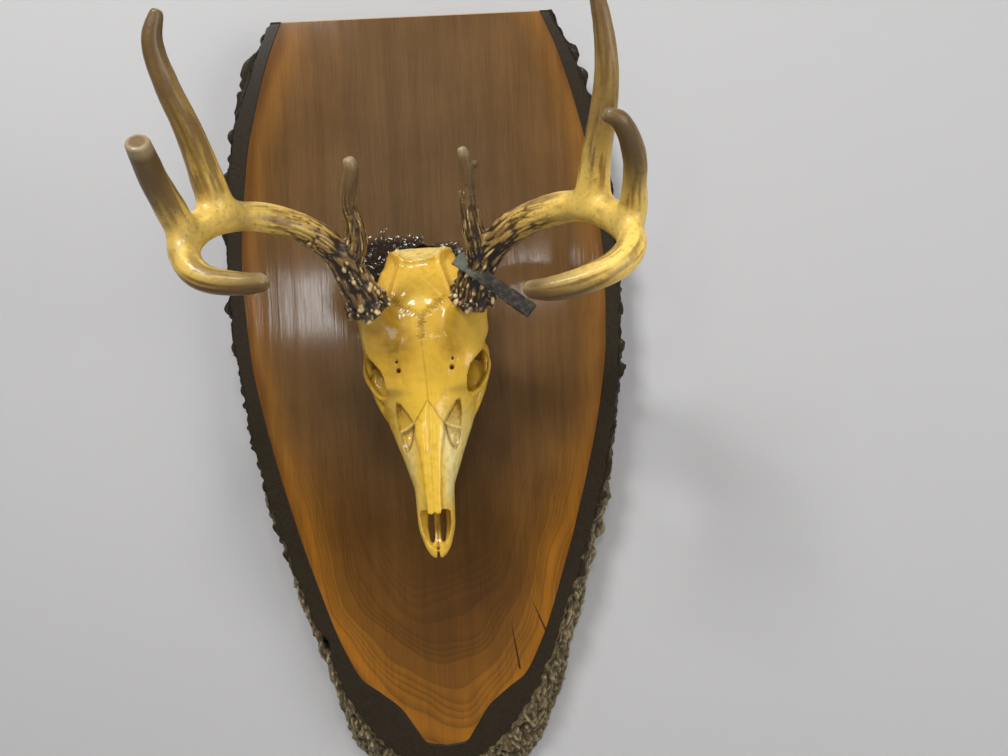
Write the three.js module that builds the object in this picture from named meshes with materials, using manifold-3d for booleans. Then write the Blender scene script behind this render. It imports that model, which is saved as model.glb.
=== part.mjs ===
// White-tailed buck's skull and antlers on a live-edge board, for hanging on a wall.
// Millimetres, +Z up. The board's flat back lies in the plane Y = 0 and the viewer is on the -Y side.
// The origin is on the back of the board, on its middle line, 385 mm under its flat top.
import * as THREE from 'three';
import { mergeVertices } from 'three/addons/utils/BufferGeometryUtils.js';
import Module from 'manifold-3d';

const wasm = await Module();
wasm.setup();

// ---------------------------------------------------------------- driving dimensions

const GAP = 0.3; // clearance between pieces that touch
const HANDS = { left: -1, right: 1 }; // the viewer's left and right

const BOARD_THICK = 45;
const BOARD_TOP = 385;
const LOG_SLANT = 42; // how much lower the slanting log runs at the back than at the front
const LOPSIDED = 4; // how far the log's upper half bulges to the left
// half widths at heights from the top cut down, of the wood and of the bark's outside on the front face
const WOOD_HALF = [
  [430, 106], [385, 127], [345, 143], [300, 156], [250, 167], [130, 178], [60, 175], [0, 166],
  [-120, 139], [-180, 123], [-225, 110], [-252, 97], [-272, 80], [-290, 57], [-325, 18], [-333, 0],
];
const RIM_STEPS = 28; // facets from the lowest point up each side of the board
const BARK_CRACK = -215; // height of the cracks between the side pieces of bark and the bottom one
const BARK_HALF = [
  [430, 118], [385, 139], [350, 156], [315, 169], [275, 181], [175, 193], [110, 193], [50, 189],
  [-50, 174], [-155, 147], [-235, 122], [-303, 97], [-325, 84], [-350, 60], [-368, 32], [-378, 0],
];
const POCKET = { x: 0, z: 116, halfWidth: 39, halfHeight: 45, depth: 28 };
const HANGER = { z: 300, width: 52, height: 20, thick: 1.6, recess: 6, slot: 5 };

const SKULL_LENGTH = 285;
const SKULL_TILT = THREE.MathUtils.degToRad(7); // the nose stands away from the board
const SKULL_LEAN = THREE.MathUtils.degToRad(1.7); // the nose swings to the viewer's right
const SKULL_ROLL = THREE.MathUtils.degToRad(2.7); // the brow turns to the viewer's right
const NOSE = { x: 9.2, height: 109, z: -127.6 }; // front end of the line of the nose

// Sizes inside the skull: along from the nose tip back, side from the middle, up from the line of the nose.
const ORBIT = {
  along: 162, side: 47, up: -20, radius: 20.6, rim: 2.7,
  yaw: THREE.MathUtils.degToRad(17), // each eye socket looks a little forward
  pitch: THREE.MathUtils.degToRad(20), // and a little upward
};
const TOOTH_ROW = {
  sizes: [11, 11, 11.5, 14, 15, 15.5],
  front: 77, frontSide: 16, backSide: 27.5, frontUp: -68, backUp: -90.2,
};
const CONDYLE = { along: 279, side: 13.5, up: -84, radii: [10, 10.5, 13.5] };
const BULLA = { along: 238, side: 18, up: -77, radii: [13, 8, 9] };
const FORAMEN_MAGNUM = { up: -72, halfWidth: 12.5, halfHeight: 11 };
const BROW_FORAMEN = { along: 164, side: 23, radius: 2.6 };
const CORONAL_SUTURE = { middle: 213, side: 225 };

// Outlines from above, as [along, side] on one side; levels are heights over the line of the nose.
const FACE_INSET = 3;
const TEAR_PIT_OUTLINE = [
  [93, 10], [106, 12.4], [118, 12.6], [136, 20], [124, 24], [112, 25], [101, 23.5], [93, 20],
];
const TEAR_SLIT_OUTLINE = [
  [134, 19.6], [122, 22.4], [111, 23.4], [101, 22], [101, 23.5], [112, 25], [124, 24],
];
const WIDE = 90;
const [ABOVE, BELOW] = [60, -150];
const BROW_UNDERSIDE = -15;
const CHEEK_UNDERSIDE = -75;
const [NASAL_UNDERSIDE, NASAL_TOP] = [-5, 9];
const NASAL_OUTLINE = [
  [41, 0], [38, 2.6], [43, 5], [39, 6.4], [46, 7.6], [60, 7.6], [90, 9.8], [108, 11.8], [118, 12], [135, 0],
];
const FRONTAL_OUTLINE = [
  [108, 0], [113, 12.3], [137, 20.5], [141, 34], [147, WIDE],
  [CORONAL_SUTURE.side, WIDE], [CORONAL_SUTURE.side, 30], [CORONAL_SUTURE.middle, 0],
];
const CHEEK_OUTLINE = [[140, 42], [136, WIDE], [236, WIDE], [236, 39.5], [212, 42.5], [190, 43], [160, 43]];
const JAW_OUTLINE = [[-20, -WIDE], [-20, WIDE], [186, WIDE], [186, -WIDE]];
const PREMAXILLA_SIDE = { bottomAlong: 38, topAlong: 80, bottomUp: -52, topUp: 4 };

const PEDICLE_RADIUS = 15.5;
const PEDICLE_SIDES = 8;
const BURR_RADIUS = 19.5;

// ---------------------------------------------------------------- materials

const material = (color, roughness, metalness = 0) =>
  new THREE.MeshStandardMaterial({ color, roughness, metalness });

const BONE = material(0xd2a83c, 0.3);
const CRANIUM_BONE = material(0xcf9430, 0.3);
const MUZZLE_BONE = material(0xd6bd68, 0.3);
const ANTLER = material(0xa8814a, 0.5);
const ANTLER_BASE = material(0x8a6538, 0.55);
const WOOD = material(0x745338, 0.25);
const BARK = material(0x4a4134, 0.9);
const DARK_IRON = material(0x4b4a42, 0.6, 0.5);
const ZINC = material(0xa7a9a8, 0.4, 0.9);

// ---------------------------------------------------------------- solids

// Joins closed rings of points into one closed geometry; the ends are filled by fans.
function loft(rings) {
  const points = [];
  const faces = [];
  const count = rings[0].length;
  for (const ring of rings) for (const p of ring) points.push(p.x, p.y, p.z);
  for (let i = 0; i + 1 < rings.length; i++) {
    for (let j = 0; j < count; j++) {
      const here = i * count + j;
      const next = i * count + ((j + 1) % count);
      faces.push(here, next, here + count, next, next + count, here + count);
    }
  }
  const cap = (ring, start, flip) => {
    const middle = new THREE.Vector3();
    for (const p of ring) middle.add(p);
    middle.divideScalar(count);
    const centre = points.length / 3;
    points.push(middle.x, middle.y, middle.z);
    for (let j = 0; j < count; j++) {
      const [from, to] = flip ? [(j + 1) % count, j] : [j, (j + 1) % count];
      faces.push(centre, start + from, start + to);
    }
  };
  cap(rings[0], 0, true);
  cap(rings[rings.length - 1], (rings.length - 1) * count, false);
  const geometry = new THREE.BufferGeometry();
  geometry.setAttribute('position', new THREE.Float32BufferAttribute(points, 3));
  geometry.setIndex(faces);
  return geometry;
}

function solid(geometry) {
  const bare = new THREE.BufferGeometry();
  bare.setAttribute('position', geometry.attributes.position.clone());
  bare.setIndex(geometry.index);
  const merged = mergeVertices(bare, 1e-4);
  const vertProperties = Float32Array.from(merged.attributes.position.array);
  const make = (triVerts) => new wasm.Manifold(new wasm.Mesh({ numProp: 3, vertProperties, triVerts }));
  const triangles = Uint32Array.from(merged.index.array);
  const body = make(triangles);
  return body.volume() > 0 ? body : make(triangles.reverse());
}

function geometryOf(body) {
  const mesh = body.getMesh();
  const geometry = new THREE.BufferGeometry();
  geometry.setAttribute('position', new THREE.BufferAttribute(mesh.vertProperties, 3));
  geometry.setIndex(new THREE.BufferAttribute(mesh.triVerts, 1));
  geometry.computeVertexNormals();
  return geometry;
}

// The largest connected piece of a body.
function mainPiece(body) {
  const pieces = body.decompose();
  return pieces.reduce((best, piece) => (piece.volume() > best.volume() ? piece : best));
}

const unite = (bodies) => bodies.reduce((all, body) => all.add(body));

function box(centre, size) {
  const geometry = new THREE.BoxGeometry(size.x, size.y, size.z);
  geometry.translate(centre.x, centre.y, centre.z);
  return solid(geometry);
}

function ellipsoid(centre, radii, widthSegments, heightSegments) {
  const geometry = new THREE.SphereGeometry(1, widthSegments, heightSegments);
  geometry.scale(radii.x, radii.y, radii.z);
  geometry.translate(centre.x, centre.y, centre.z);
  return solid(geometry);
}

// Smooth value between keyed rows [key, value, value...], through every row.
function keyed(rows, key) {
  let i = 0;
  while (i + 2 < rows.length && key > rows[i + 1][0]) i++;
  const [a, b] = [rows[i], rows[i + 1]];
  const before = rows[Math.max(i - 1, 0)];
  const after = rows[Math.min(i + 2, rows.length - 1)];
  const span = b[0] - a[0];
  const t = THREE.MathUtils.clamp((key - a[0]) / span, 0, 1);
  return a.slice(1).map((from, n) => {
    const to = b[n + 1];
    const slopeIn = limitedSlope(a[0] - before[0], from - before[n + 1], span, to - from);
    const slopeOut = limitedSlope(span, to - from, after[0] - b[0], after[n + 1] - to);
    const t2 = t * t;
    const t3 = t2 * t;
    return (2 * t3 - 3 * t2 + 1) * from + (t3 - 2 * t2 + t) * span * slopeIn
      + (3 * t2 - 2 * t3) * to + (t3 - t2) * span * slopeOut;
  });
}

// A slope at a key that never overshoots its neighbours.
function limitedSlope(spanA, riseA, spanB, riseB) {
  if (spanA === 0) return riseB / spanB;
  if (spanB === 0) return riseA / spanA;
  const a = riseA / spanA;
  const b = riseB / spanB;
  return a * b <= 0 ? 0 : (2 * a * b) / (a + b);
}

// A round or lumpy tube along a smooth curve: points are [x, y, z, radius].
function tube(points, options) {
  const { sides, steps, relief = () => 1, flat = 1, grow = 0, from = 0, to = 1, up = null } = options;
  const places = points.map(([x, y, z]) => new THREE.Vector3(x, y, z));
  const curve = new THREE.CatmullRomCurve3(places, false, 'centripetal');
  const radiusAt = (t) => {
    const place = t * (points.length - 1);
    const i = Math.min(Math.floor(place), points.length - 2);
    return THREE.MathUtils.lerp(points[i][3], points[i + 1][3], place - i);
  };
  const rings = [];
  let side = null;
  for (let i = 0; i <= steps; i++) {
    const t = from + ((to - from) * i) / steps;
    const centre = curve.getPoint(t);
    const along = curve.getTangent(t);
    const guess = up ?? side ?? new THREE.Vector3(0.31, 0.23, 0.92);
    side = guess.clone().addScaledVector(along, -guess.dot(along)).normalize();
    const across = new THREE.Vector3().crossVectors(along, side);
    const ring = [];
    for (let j = 0; j < sides; j++) {
      const angle = (2 * Math.PI * j) / sides;
      const radius = radiusAt(t) * relief(angle, t) + grow;
      const point = centre.clone();
      point.addScaledVector(side, radius * Math.cos(angle));
      point.addScaledVector(across, radius * flat * Math.sin(angle));
      ring.push(point);
    }
    rings.push(ring);
  }
  if (grow) {
    const stretch = (ring, inner) => {
      const shift = ring[0].clone().sub(inner[0]).normalize().multiplyScalar(grow);
      return ring.map((p) => p.clone().add(shift));
    };
    rings[0] = stretch(rings[0], rings[1]);
    rings[steps] = stretch(rings[steps], rings[steps - 1]);
  }
  return solid(loft(rings));
}

// ---------------------------------------------------------------- the model's groups

const model = new THREE.Group();

const skullGroup = new THREE.Group();
skullGroup.position.set(NOSE.x, -BOARD_THICK - NOSE.height, NOSE.z);
skullGroup.rotation.set(-SKULL_TILT, -SKULL_LEAN, SKULL_ROLL, 'YXZ');
model.add(skullGroup);
model.updateMatrixWorld(true);

function boneLook(name) {
  if (/braincase/.test(name)) return CRANIUM_BONE;
  return /maxilla|nasal|jaw/.test(name) ? MUZZLE_BONE : BONE;
}

function addPiece(group, name, body, look) {
  const mesh = new THREE.Mesh(geometryOf(mainPiece(body)), look);
  mesh.name = name;
  group.add(mesh);
}

// ---------------------------------------------------------------- board

// Repeatable roughness between -1 and 1 along a line, from a few waves that don't share a period.
const rough = (t, seed = 0) =>
  (Math.sin(t * 1.7 + seed) + Math.sin(t * 3.1 + 2.3 * seed + 1) + Math.sin(t * 5.3 + 0.7 * seed + 2)) / 3;

// A point of a slanting outline: turn runs from -1 (left end of the top cut) through 0 (lowest point)
// to 1 (right end of the top cut), deep from 0 at the front face to 1 at the back.
function edgePoint(halves, turn, deep) {
  const shift = LOG_SLANT * deep;
  const bottom = halves[halves.length - 1][0] - shift;
  const rise = 1 - Math.cos((Math.abs(turn) * Math.PI) / 2);
  const z = bottom + (BOARD_TOP - bottom) * rise;
  const half = keyed(halves.map(([height, value]) => [-height, value]), -(z + shift))[0];
  const sway = -LOPSIDED * THREE.MathUtils.smoothstep(z, -50, 250);
  return new THREE.Vector3(Math.sign(turn) * half + sway, -BOARD_THICK * (1 - deep), z);
}

// The same point pushed square out of the outline.
function outlinePoint(halves, turn, deep, bulge = 0) {
  const point = edgePoint(halves, turn, deep);
  if (bulge === 0) return point;
  const step = 0.004;
  const after = edgePoint(halves, Math.min(turn + step, 1), deep);
  const run = after.sub(edgePoint(halves, Math.max(turn - step, -1), deep)).normalize();
  const level = Math.abs(turn) === 1 ? 0 : -run.x * bulge;
  return point.add(new THREE.Vector3(run.z * bulge, 0, level));
}

// The slanting slice of wood inside the bark, pushed out all round by a bulge.
function woodSlice(bulge = 0) {
  const rings = [0, 1].map((deep) => {
    const ring = [];
    for (let i = -RIM_STEPS; i <= RIM_STEPS; i++) {
      ring.push(outlinePoint(WOOD_HALF, i / RIM_STEPS, deep, bulge));
    }
    return ring;
  });
  return solid(loft(rings));
}

function buildBoard() {
  const pocket = new THREE.CylinderGeometry(POCKET.halfWidth, POCKET.halfWidth - 4, POCKET.depth * 2, 24);
  pocket.scale(1, 1, POCKET.halfHeight / POCKET.halfWidth);
  pocket.translate(POCKET.x, -BOARD_THICK, POCKET.z);
  return woodSlice().subtract(solid(pocket)).subtract(hangerRecess());
}

// The bark runs all round but for the flat top, rough on its outside.
function buildBark() {
  const rings = [];
  for (let i = -RIM_STEPS; i <= RIM_STEPS; i++) {
    const turn = i / RIM_STEPS;
    const lump = (deep) => 2.6 * rough(turn * 31 + deep * 4) - 1.5;
    const inner = [1, 0].map((deep) => outlinePoint(WOOD_HALF, turn, deep, -4));
    const outer = [0, 0.5, 1].map((deep) => outlinePoint(BARK_HALF, turn, deep, lump(deep)));
    rings.push(inner.concat(outer));
  }
  return solid(loft(rings)).subtract(woodSlice(GAP));
}

// Level cracks part the bark into a left, a right and a bottom piece.
function splitBark(bark) {
  const span = 1000;
  const crack = box(new THREE.Vector3(0, 0, BARK_CRACK), new THREE.Vector3(span, span, GAP));
  const pieces = bark.subtract(crack).decompose();
  const named = {};
  for (const piece of pieces) {
    const { min, max } = piece.boundingBox();
    if (max[2] <= BARK_CRACK) named.bark_bottom = piece;
    else named[min[0] < 0 ? 'bark_left' : 'bark_right'] = piece;
  }
  return named;
}

addPiece(model, 'board', buildBoard(), WOOD);
for (const [name, piece] of Object.entries(splitBark(buildBark()))) addPiece(model, name, piece, BARK);

// ---------------------------------------------------------------- hanger

function hangerRecess() {
  return box(
    new THREE.Vector3(0, 0, HANGER.z),
    new THREE.Vector3(HANGER.width + 2 * GAP, HANGER.recess * 2, HANGER.height + 2 * GAP),
  );
}

// A plate with a keyhole, let in flush with the back of the board.
function buildHanger() {
  const shape = new THREE.Shape();
  shape.moveTo(-HANGER.width / 2, -HANGER.height / 2);
  shape.lineTo(HANGER.width / 2, -HANGER.height / 2);
  shape.lineTo(HANGER.width / 2, HANGER.height / 2);
  shape.lineTo(-HANGER.width / 2, HANGER.height / 2);
  shape.closePath();
  const keyhole = new THREE.Path();
  keyhole.absarc(0, -3, HANGER.slot, Math.PI * 0.65, Math.PI * 2.35, false);
  keyhole.lineTo(2.3, 6);
  keyhole.lineTo(-2.3, 6);
  keyhole.closePath();
  shape.holes.push(keyhole);
  const settings = { depth: HANGER.thick, bevelEnabled: false, curveSegments: 8 };
  const plate = new THREE.ExtrudeGeometry(shape, settings);
  plate.rotateX(Math.PI / 2);
  plate.translate(0, -0.2, HANGER.z);
  return solid(plate);
}

addPiece(model, 'hanger_plate', buildHanger(), ZINC);

// ---------------------------------------------------------------- skull

// A point of the skull, before it is tilted on the board.
const inSkull = (along, side, up) => new THREE.Vector3(side, -up, along);

// Outlines along the skull: [along, top, half width, widest level, bottom, fullness above, fullness below].
// A fullness of 2 is an ellipse, more is boxier and under 1 is hollow.
const CRANIUM = [
  [0.5, -26.5, 4.5, -31, -36, 2, 2],
  [4, -25, 7.5, -31, -38, 2.2, 2.2],
  [11, -22.5, 11.5, -31, -40, 2.4, 2.6],
  [19, -19, 14, -31, -42, 2.4, 3],
  [28, -14.5, 16.3, -31, -44, 2.3, 3.2],
  [44, -8, 17, -30, -46, 2.1, 3.2],
  [60, -3.5, 17.2, -29, -47, 2, 3.2],
  [75, -0.5, 20, -30, -50, 1.9, 3.4],
  [93, 0, 25.5, -36, -54, 1.7, 3.4],
  [112, 0, 33, -43, -58, 1.5, 3.2],
  [125, 0.5, 38.5, -44, -62, 1.55, 2.8],
  [136, 1.5, 41.5, -38, -66, 1.75, 2.2],
  [143, 2.3, 40, -30, -68, 1.9, 1.4],
  [150, 3, 38, -8, -70, 2.3, 0.8],
  [159, 4.3, 41, -5, -71, 2.5, 0.66],
  [169, 5.5, 45.5, -4, -72, 2.6, 0.62],
  [179, 6.8, 50, -4, -72, 2.6, 0.62],
  [187, 8, 49, -6, -72, 2.3, 0.7],
  [196, 8.8, 43, -10, -71, 2.1, 1.1],
  [206, 9, 38.5, -17, -70, 2.1, 1.5],
  [218, 9, 37.5, -23, -72, 2.2, 1.7],
  [232, 5.5, 38.5, -29, -76, 2.2, 1.7],
  [249, -4, 40.8, -38, -80, 2.2, 1.7],
  [258, -10.5, 37, -42, -83, 2.1, 1.7],
  [266, -16, 32.5, -46, -85, 2.3, 1.9],
  [276, -25, 28.5, -52, -86, 2.5, 2.1],
  [283, -33, 24, -57, -84, 2.6, 2.2],
];
const NASAL_PLATE = [
  [39, 1, 5.5, -1, -3, 2, 2],
  [46, 1.2, 8, -1.8, -3.4, 2, 2.4],
  [62, 1.2, 8.6, -2, -4, 2, 2.4],
  [90, 1.2, 10, -3, -5, 2, 2.4],
  [116, 1.2, 14, -4, -6, 2, 2.4],
  [136, 1.6, 8, -3, -6, 2, 2.4],
];
const NOSE_CHANNEL = [
  [10, -6, 3, -16, -31, 2, 3],
  [16, 4, 9.5, -16, -34, 2.5, 1.9],
  [28, 4, 12.6, -17, -37, 2.5, 1.9],
  [38, 3, 13.2, -18, -38, 2.5, 2],
  [44, -3.2, 13.2, -19, -39, 2.5, 2.2],
  [75, -4, 14, -22, -42, 2.4, 2.6],
  [112, -6, 14, -30, -47, 2.2, 3],
  [128, -9, 13, -32, -48, 2, 3],
  [138, -16, 9, -30, -42, 2, 2],
];

function skullRing(along, [top, half, widest, bottom, above, below], count) {
  const ring = [];
  for (let j = 0; j < count; j++) {
    const angle = (2 * Math.PI * (j + 0.5)) / count;
    const [c, s] = [Math.cos(angle), Math.sin(angle)];
    const power = 2 / (s > 0 ? above : below);
    const side = half * Math.sign(c) * Math.abs(c) ** power;
    const reach = Math.abs(s) ** power;
    const up = s > 0 ? widest + (top - widest) * reach : widest - (widest - bottom) * reach;
    ring.push(inSkull(along, side, up));
  }
  return ring;
}

function skullLoft(rows, steps, count) {
  const [first, last] = [rows[0][0], rows[rows.length - 1][0]];
  const rings = [];
  for (let i = 0; i <= steps; i++) {
    const along = THREE.MathUtils.lerp(first, last, i / steps);
    rings.push(skullRing(along, keyed(rows, along), count));
  }
  return solid(loft(rings));
}

const onSide = (outline, hand) => outline.map(([along, side]) => [along, hand * side]);

// A straight-sided block with an outline of [along, side] points, between two levels.
function block(outline, low, high) {
  const ring = (up) => outline.map(([along, side]) => inSkull(along, side, up));
  return solid(loft([ring(low), ring(high)]));
}

// Moves an outline's edges outward, for a cutter that leaves a gap.
function grown(outline, amount) {
  const points = outline.map(([x, y]) => new THREE.Vector2(x, y));
  const turn = Math.sign(THREE.ShapeUtils.area(points));
  return points.map((p, i) => {
    const before = points[(i + points.length - 1) % points.length];
    const after = points[(i + 1) % points.length];
    const inward = p.clone().sub(before).normalize();
    const outward = after.clone().sub(p).normalize();
    const normals = [inward, outward].map((d) => new THREE.Vector2(d.y, -d.x).multiplyScalar(turn));
    const mitre = normals[0].clone().add(normals[1]).normalize();
    const reach = amount / Math.max(mitre.dot(normals[0]), 0.35);
    return [p.x + mitre.x * reach, p.y + mitre.y * reach];
  });
}

const skullTube = (points, options) => tube(
  points.map(([along, side, up, radius]) => [...inSkull(along, side, up).toArray(), radius]),
  { up: new THREE.Vector3(0, 1, 0), ...options },
);

const skullEllipsoid = (along, side, up, [a, s, u]) =>
  ellipsoid(inSkull(along, side, up), new THREE.Vector3(s, u, a), 8, 6);

function orbitRim(hand) {
  const ring = new THREE.TorusGeometry(ORBIT.radius, ORBIT.rim, 4, 12);
  ring.rotateY(Math.PI / 2);
  ring.rotateZ(-hand * ORBIT.pitch);
  ring.rotateY(hand * ORBIT.yaw);
  const centre = inSkull(ORBIT.along, hand * ORBIT.side, ORBIT.up);
  ring.translate(centre.x, centre.y, centre.z);
  return solid(ring);
}

const zygomaticArch = (hand) => skullTube([
  [110, hand * 27, -45, 4], [128, hand * 38.5, -48, 7], [146, hand * 46.5, -49, 8.5],
  [163, hand * 52, -49, 8.5], [180, hand * 53.5, -49.5, 7.5], [196, hand * 51.5, -51.5, 5.5],
  [213, hand * 48, -50, 5], [230, hand * 43.5, -48, 6], [243, hand * 38, -47, 8], [255, hand * 30, -44, 8],
], { sides: 6, steps: 13, flat: 0.5 });

const postorbitalBar = (hand) => skullTube([
  [180, hand * 47, -2, 6], [185.5, hand * 51.5, -15, 4.6],
  [186, hand * 53, -31, 4.4], [181, hand * 53.5, -48, 6],
], { sides: 6, steps: 5, flat: 0.8, up: new THREE.Vector3(0, 0, 1) });

const toothSocketRidge = (hand) => skullTube([
  [70, hand * 12, -42, 3], [88, hand * 16, -51, 7], [115, hand * 21.5, -61, 9],
  [140, hand * 27, -70, 9.5], [158, hand * 27.5, -73, 8], [166, hand * 26, -69, 6],
], { sides: 5, steps: 5, flat: 0.75 });

// One cheek tooth: a tapered block with a ridged crown.
function tooth(index, hand) {
  const { sizes, front, frontSide, backSide, frontUp, backUp } = TOOTH_ROW;
  const row = sizes.reduce((sum, size) => sum + size);
  const before = sizes.slice(0, index).reduce((sum, size) => sum + size, 0);
  const t = (before + sizes[index] / 2) / row;
  const along = front + t * row;
  const side = hand * THREE.MathUtils.lerp(frontSide, backSide, t);
  const tip = THREE.MathUtils.lerp(frontUp, backUp, t);
  const long = sizes[index] * 0.48;
  const wide = THREE.MathUtils.lerp(4.4, 6.8, t);
  const levels = [[tip + 15, 0.8, 0.7], [tip + 4, 1, 1], [tip, 0.86, 0.6]];
  return solid(loft(levels.map(([up, longScale, wideScale]) => {
    const ring = [];
    for (const [forward, outward] of [[-1, -1], [1, -1], [1, 1], [-1, 1]]) {
      ring.push(inSkull(along + forward * long * longScale, side + outward * wide * wideScale, up));
    }
    return ring;
  })));
}

const jugularProcess = (hand) => skullTube([
  [262, hand * 27, -62, 9], [265, hand * 27, -80, 6], [263, hand * 25.5, -99, 2.6],
], { sides: 6, steps: 4, flat: 0.7, up: new THREE.Vector3(0, 0, 1) });

// A pedicle spreads from just under the antler that stands on it down into the shoulder of the brow.
function pedicle(beam, hand) {
  const [base, next] = [0, 1].map((i) => new THREE.Vector3(...worldPoint(beam[i])));
  const lift = next.sub(base).normalize();
  const head = skullGroup.worldToLocal(base.clone().addScaledVector(lift, -GAP));
  const up = lift.transformDirection(skullGroup.matrixWorld.clone().invert());
  const neck = head.clone().addScaledVector(up, -6);
  const levels = [
    { centre: inSkull(198, hand * 33, -12), normal: inSkull(0, 0, 1), along: 28, side: 14 },
    { centre: inSkull(199, hand * 33, 3), normal: inSkull(0.2, hand * 0.2, 1), along: 23, side: 16 },
    { centre: neck, normal: up, along: PEDICLE_RADIUS + 2, side: PEDICLE_RADIUS + 1 },
    { centre: head, normal: up, along: PEDICLE_RADIUS, side: PEDICLE_RADIUS },
  ];
  return solid(loft(levels.map(({ centre, normal, along, side }) => {
    const axis = normal.clone().normalize();
    const forward = inSkull(1, 0, 0).projectOnPlane(axis).normalize();
    const outward = new THREE.Vector3().crossVectors(axis, forward);
    const ring = [];
    for (let j = 0; j < PEDICLE_SIDES; j++) {
      const angle = (2 * Math.PI * j) / PEDICLE_SIDES;
      const point = centre.clone().addScaledVector(forward, along * Math.cos(angle));
      ring.push(point.addScaledVector(outward, side * Math.sin(angle)));
    }
    return ring;
  })));
}

// ---------------------------------------------------------------- antlers

// Rows of [x, height above the board's face, z, radius].
const ANTLERS = {
  left: {
    beam: [
      [-39.6, 97, 88.3, 15.5], [-47, 114, 109, 14.4], [-60, 136, 134, 12.6], [-81, 157, 149, 11.4],
      [-111, 184, 153, 11.5], [-134, 211, 143, 12], [-142, 230, 123, 11.4], [-127, 241, 102, 9.7],
      [-104, 240, 96, 8.4], [-87, 235, 97, 6.8], [-83, 234, 98, 3.5],
    ],
    forks: [4.75, 6.1],
    brow: [
      [-51, 124, 122, 8], [-43, 132, 136, 9.6], [-41, 142, 150, 7.6], [-43, 154, 167, 6.4],
      [-40, 163, 180, 5.8], [-37, 168, 190, 5.2], [-39, 172, 197, 3.6],
    ],
    second: [
      [-127, 198, 148, 9], [-129, 205, 163, 11.4], [-130, 217, 178, 9.8], [-131, 240, 200, 8.2],
      [-136, 260, 224, 7.1], [-138, 272, 245, 5.6], [-130, 279, 264, 1.6],
    ],
    third: [
      [-140, 222, 124, 8], [-143, 234, 140, 10.2], [-145, 262, 161, 8.6], [-142, 290, 177, 7.2],
    ],
  },
  right: {
    beam: [
      [47, 97, 93, 16], [54, 116, 114, 15], [70, 134, 134, 13.4], [96, 154, 148, 12.5],
      [133, 184, 150, 12.2], [154, 209, 136, 12.2], [163, 232, 114, 10.6], [153, 242, 99, 10.6],
      [134, 246, 89, 9.9], [107, 241, 83, 8.6], [91, 235, 84, 6.2], [87.5, 234, 84, 3],
    ],
    forks: [4.75, 5.95],
    brow: [
      [60, 124, 119, 8], [56, 132, 130, 9.6], [52, 144, 150, 7.6], [50, 156, 168, 6.4],
      [51, 166, 185, 5.5], [49, 171, 196, 4.6], [47, 173, 201, 2.8],
    ],
    second: [
      [141, 190, 144, 9], [142, 198, 156, 11.4], [143, 212, 172, 9], [147, 250, 210, 7.4],
      [146, 264, 230, 6.2], [142, 274, 251, 5], [134, 283, 279, 1.4],
    ],
    third: [
      [163, 214, 124, 8], [166, 222, 136, 9.6], [164, 244, 149, 7.2], [161, 264, 163, 7],
      [149, 287, 179, 5], [138, 291, 181, 3.4],
    ],
  },
};
const BURR_END = 0.4; // how far up the beam, in beam points, the burr reaches

const worldPoint = ([x, height, z]) => [x, -BOARD_THICK - height, z];
const worldRows = (rows) => rows.map((row) => [...worldPoint(row), row[3]]);

// Gutters run along an antler and are deepest near its base; the burr is a beaded crown.
function beamRelief(lastPoint) {
  return (angle, t) => {
    const place = t * lastPoint;
    const fade = 1 - THREE.MathUtils.smoothstep(place, 0.5, 4.5);
    const waves = 0.05 * Math.sin(5 * angle + 2 * place) + 0.03 * Math.sin(9 * angle - 3 * place);
    const gutters = 1 + fade * waves;
    const crown = Math.max(0, 1 - Math.abs(place / BURR_END - 0.5) * 2) ** 0.6;
    const beads = BURR_RADIUS / 15.5 - 1 + 0.07 * Math.sin(8 * angle) + 0.04 * Math.sin(13 * angle + 1);
    return gutters + crown * beads;
  };
}

function buildAntler(hand, antler) {
  const beam = worldRows(antler.beam);
  const last = beam.length - 1;
  const relief = beamRelief(last);
  const [secondFork, thirdFork] = antler.forks;
  const nick = 0.0125; // in beam points, about the clearance between two lengths of beam
  const length = (from, to, steps, grow = 0) =>
    tube(beam, { sides: 10, steps, relief, from: from / last, to: to / last, grow });
  const lengths = {
    base: [0, secondFork, 16],
    middle: [secondFork + nick, thirdFork, 4],
    tip: [thirdFork + nick, last, 9],
  };
  const thick = unite(Object.values(lengths).map(([from, to, steps]) => length(from, to, steps, GAP)));
  const tine = (rows, steps, sides) =>
    mainPiece(tube(worldRows(rows), { sides, steps, relief: tineRelief }).subtract(thick));
  const bodies = {
    base: length(...lengths.base),
    middle: length(...lengths.middle),
    tip: length(...lengths.tip),
    brow_tine: tine(antler.brow, 8, 7),
    second_tine: tine(antler.second, 8, 7),
    third_tine: tine(antler.third, 6, 7),
  };
  return Object.entries(bodies).map(([name, body]) => [`antler_${hand}_${name}`, body]);
}

const tineRelief = (angle, t) => 1 + 0.05 * Math.sin(4 * angle + 3 * t) * (1 - t);

// ---------------------------------------------------------------- iron bar

const BAR = { from: [37.3, 124, 125.2], to: [96.7, 147, 76.4], wide: 11, thick: 4 };

function ironBar(grow = 0) {
  const [a, b] = [BAR.from, BAR.to].map((p) => new THREE.Vector3(...worldPoint(p)));
  const sizes = [BAR.wide, BAR.thick, a.distanceTo(b)].map((size) => size + 2 * grow);
  const geometry = new THREE.BoxGeometry(...sizes);
  const along = b.clone().sub(a).normalize();
  const across = new THREE.Vector3(0, -1, 0).cross(along).normalize();
  const outward = new THREE.Vector3().crossVectors(along, across).normalize();
  geometry.applyMatrix4(new THREE.Matrix4().makeBasis(across, outward, along));
  const middle = a.clone().lerp(b, 0.5);
  geometry.translate(middle.x, middle.y, middle.z);
  return solid(geometry);
}

// ---------------------------------------------------------------- bones

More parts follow.
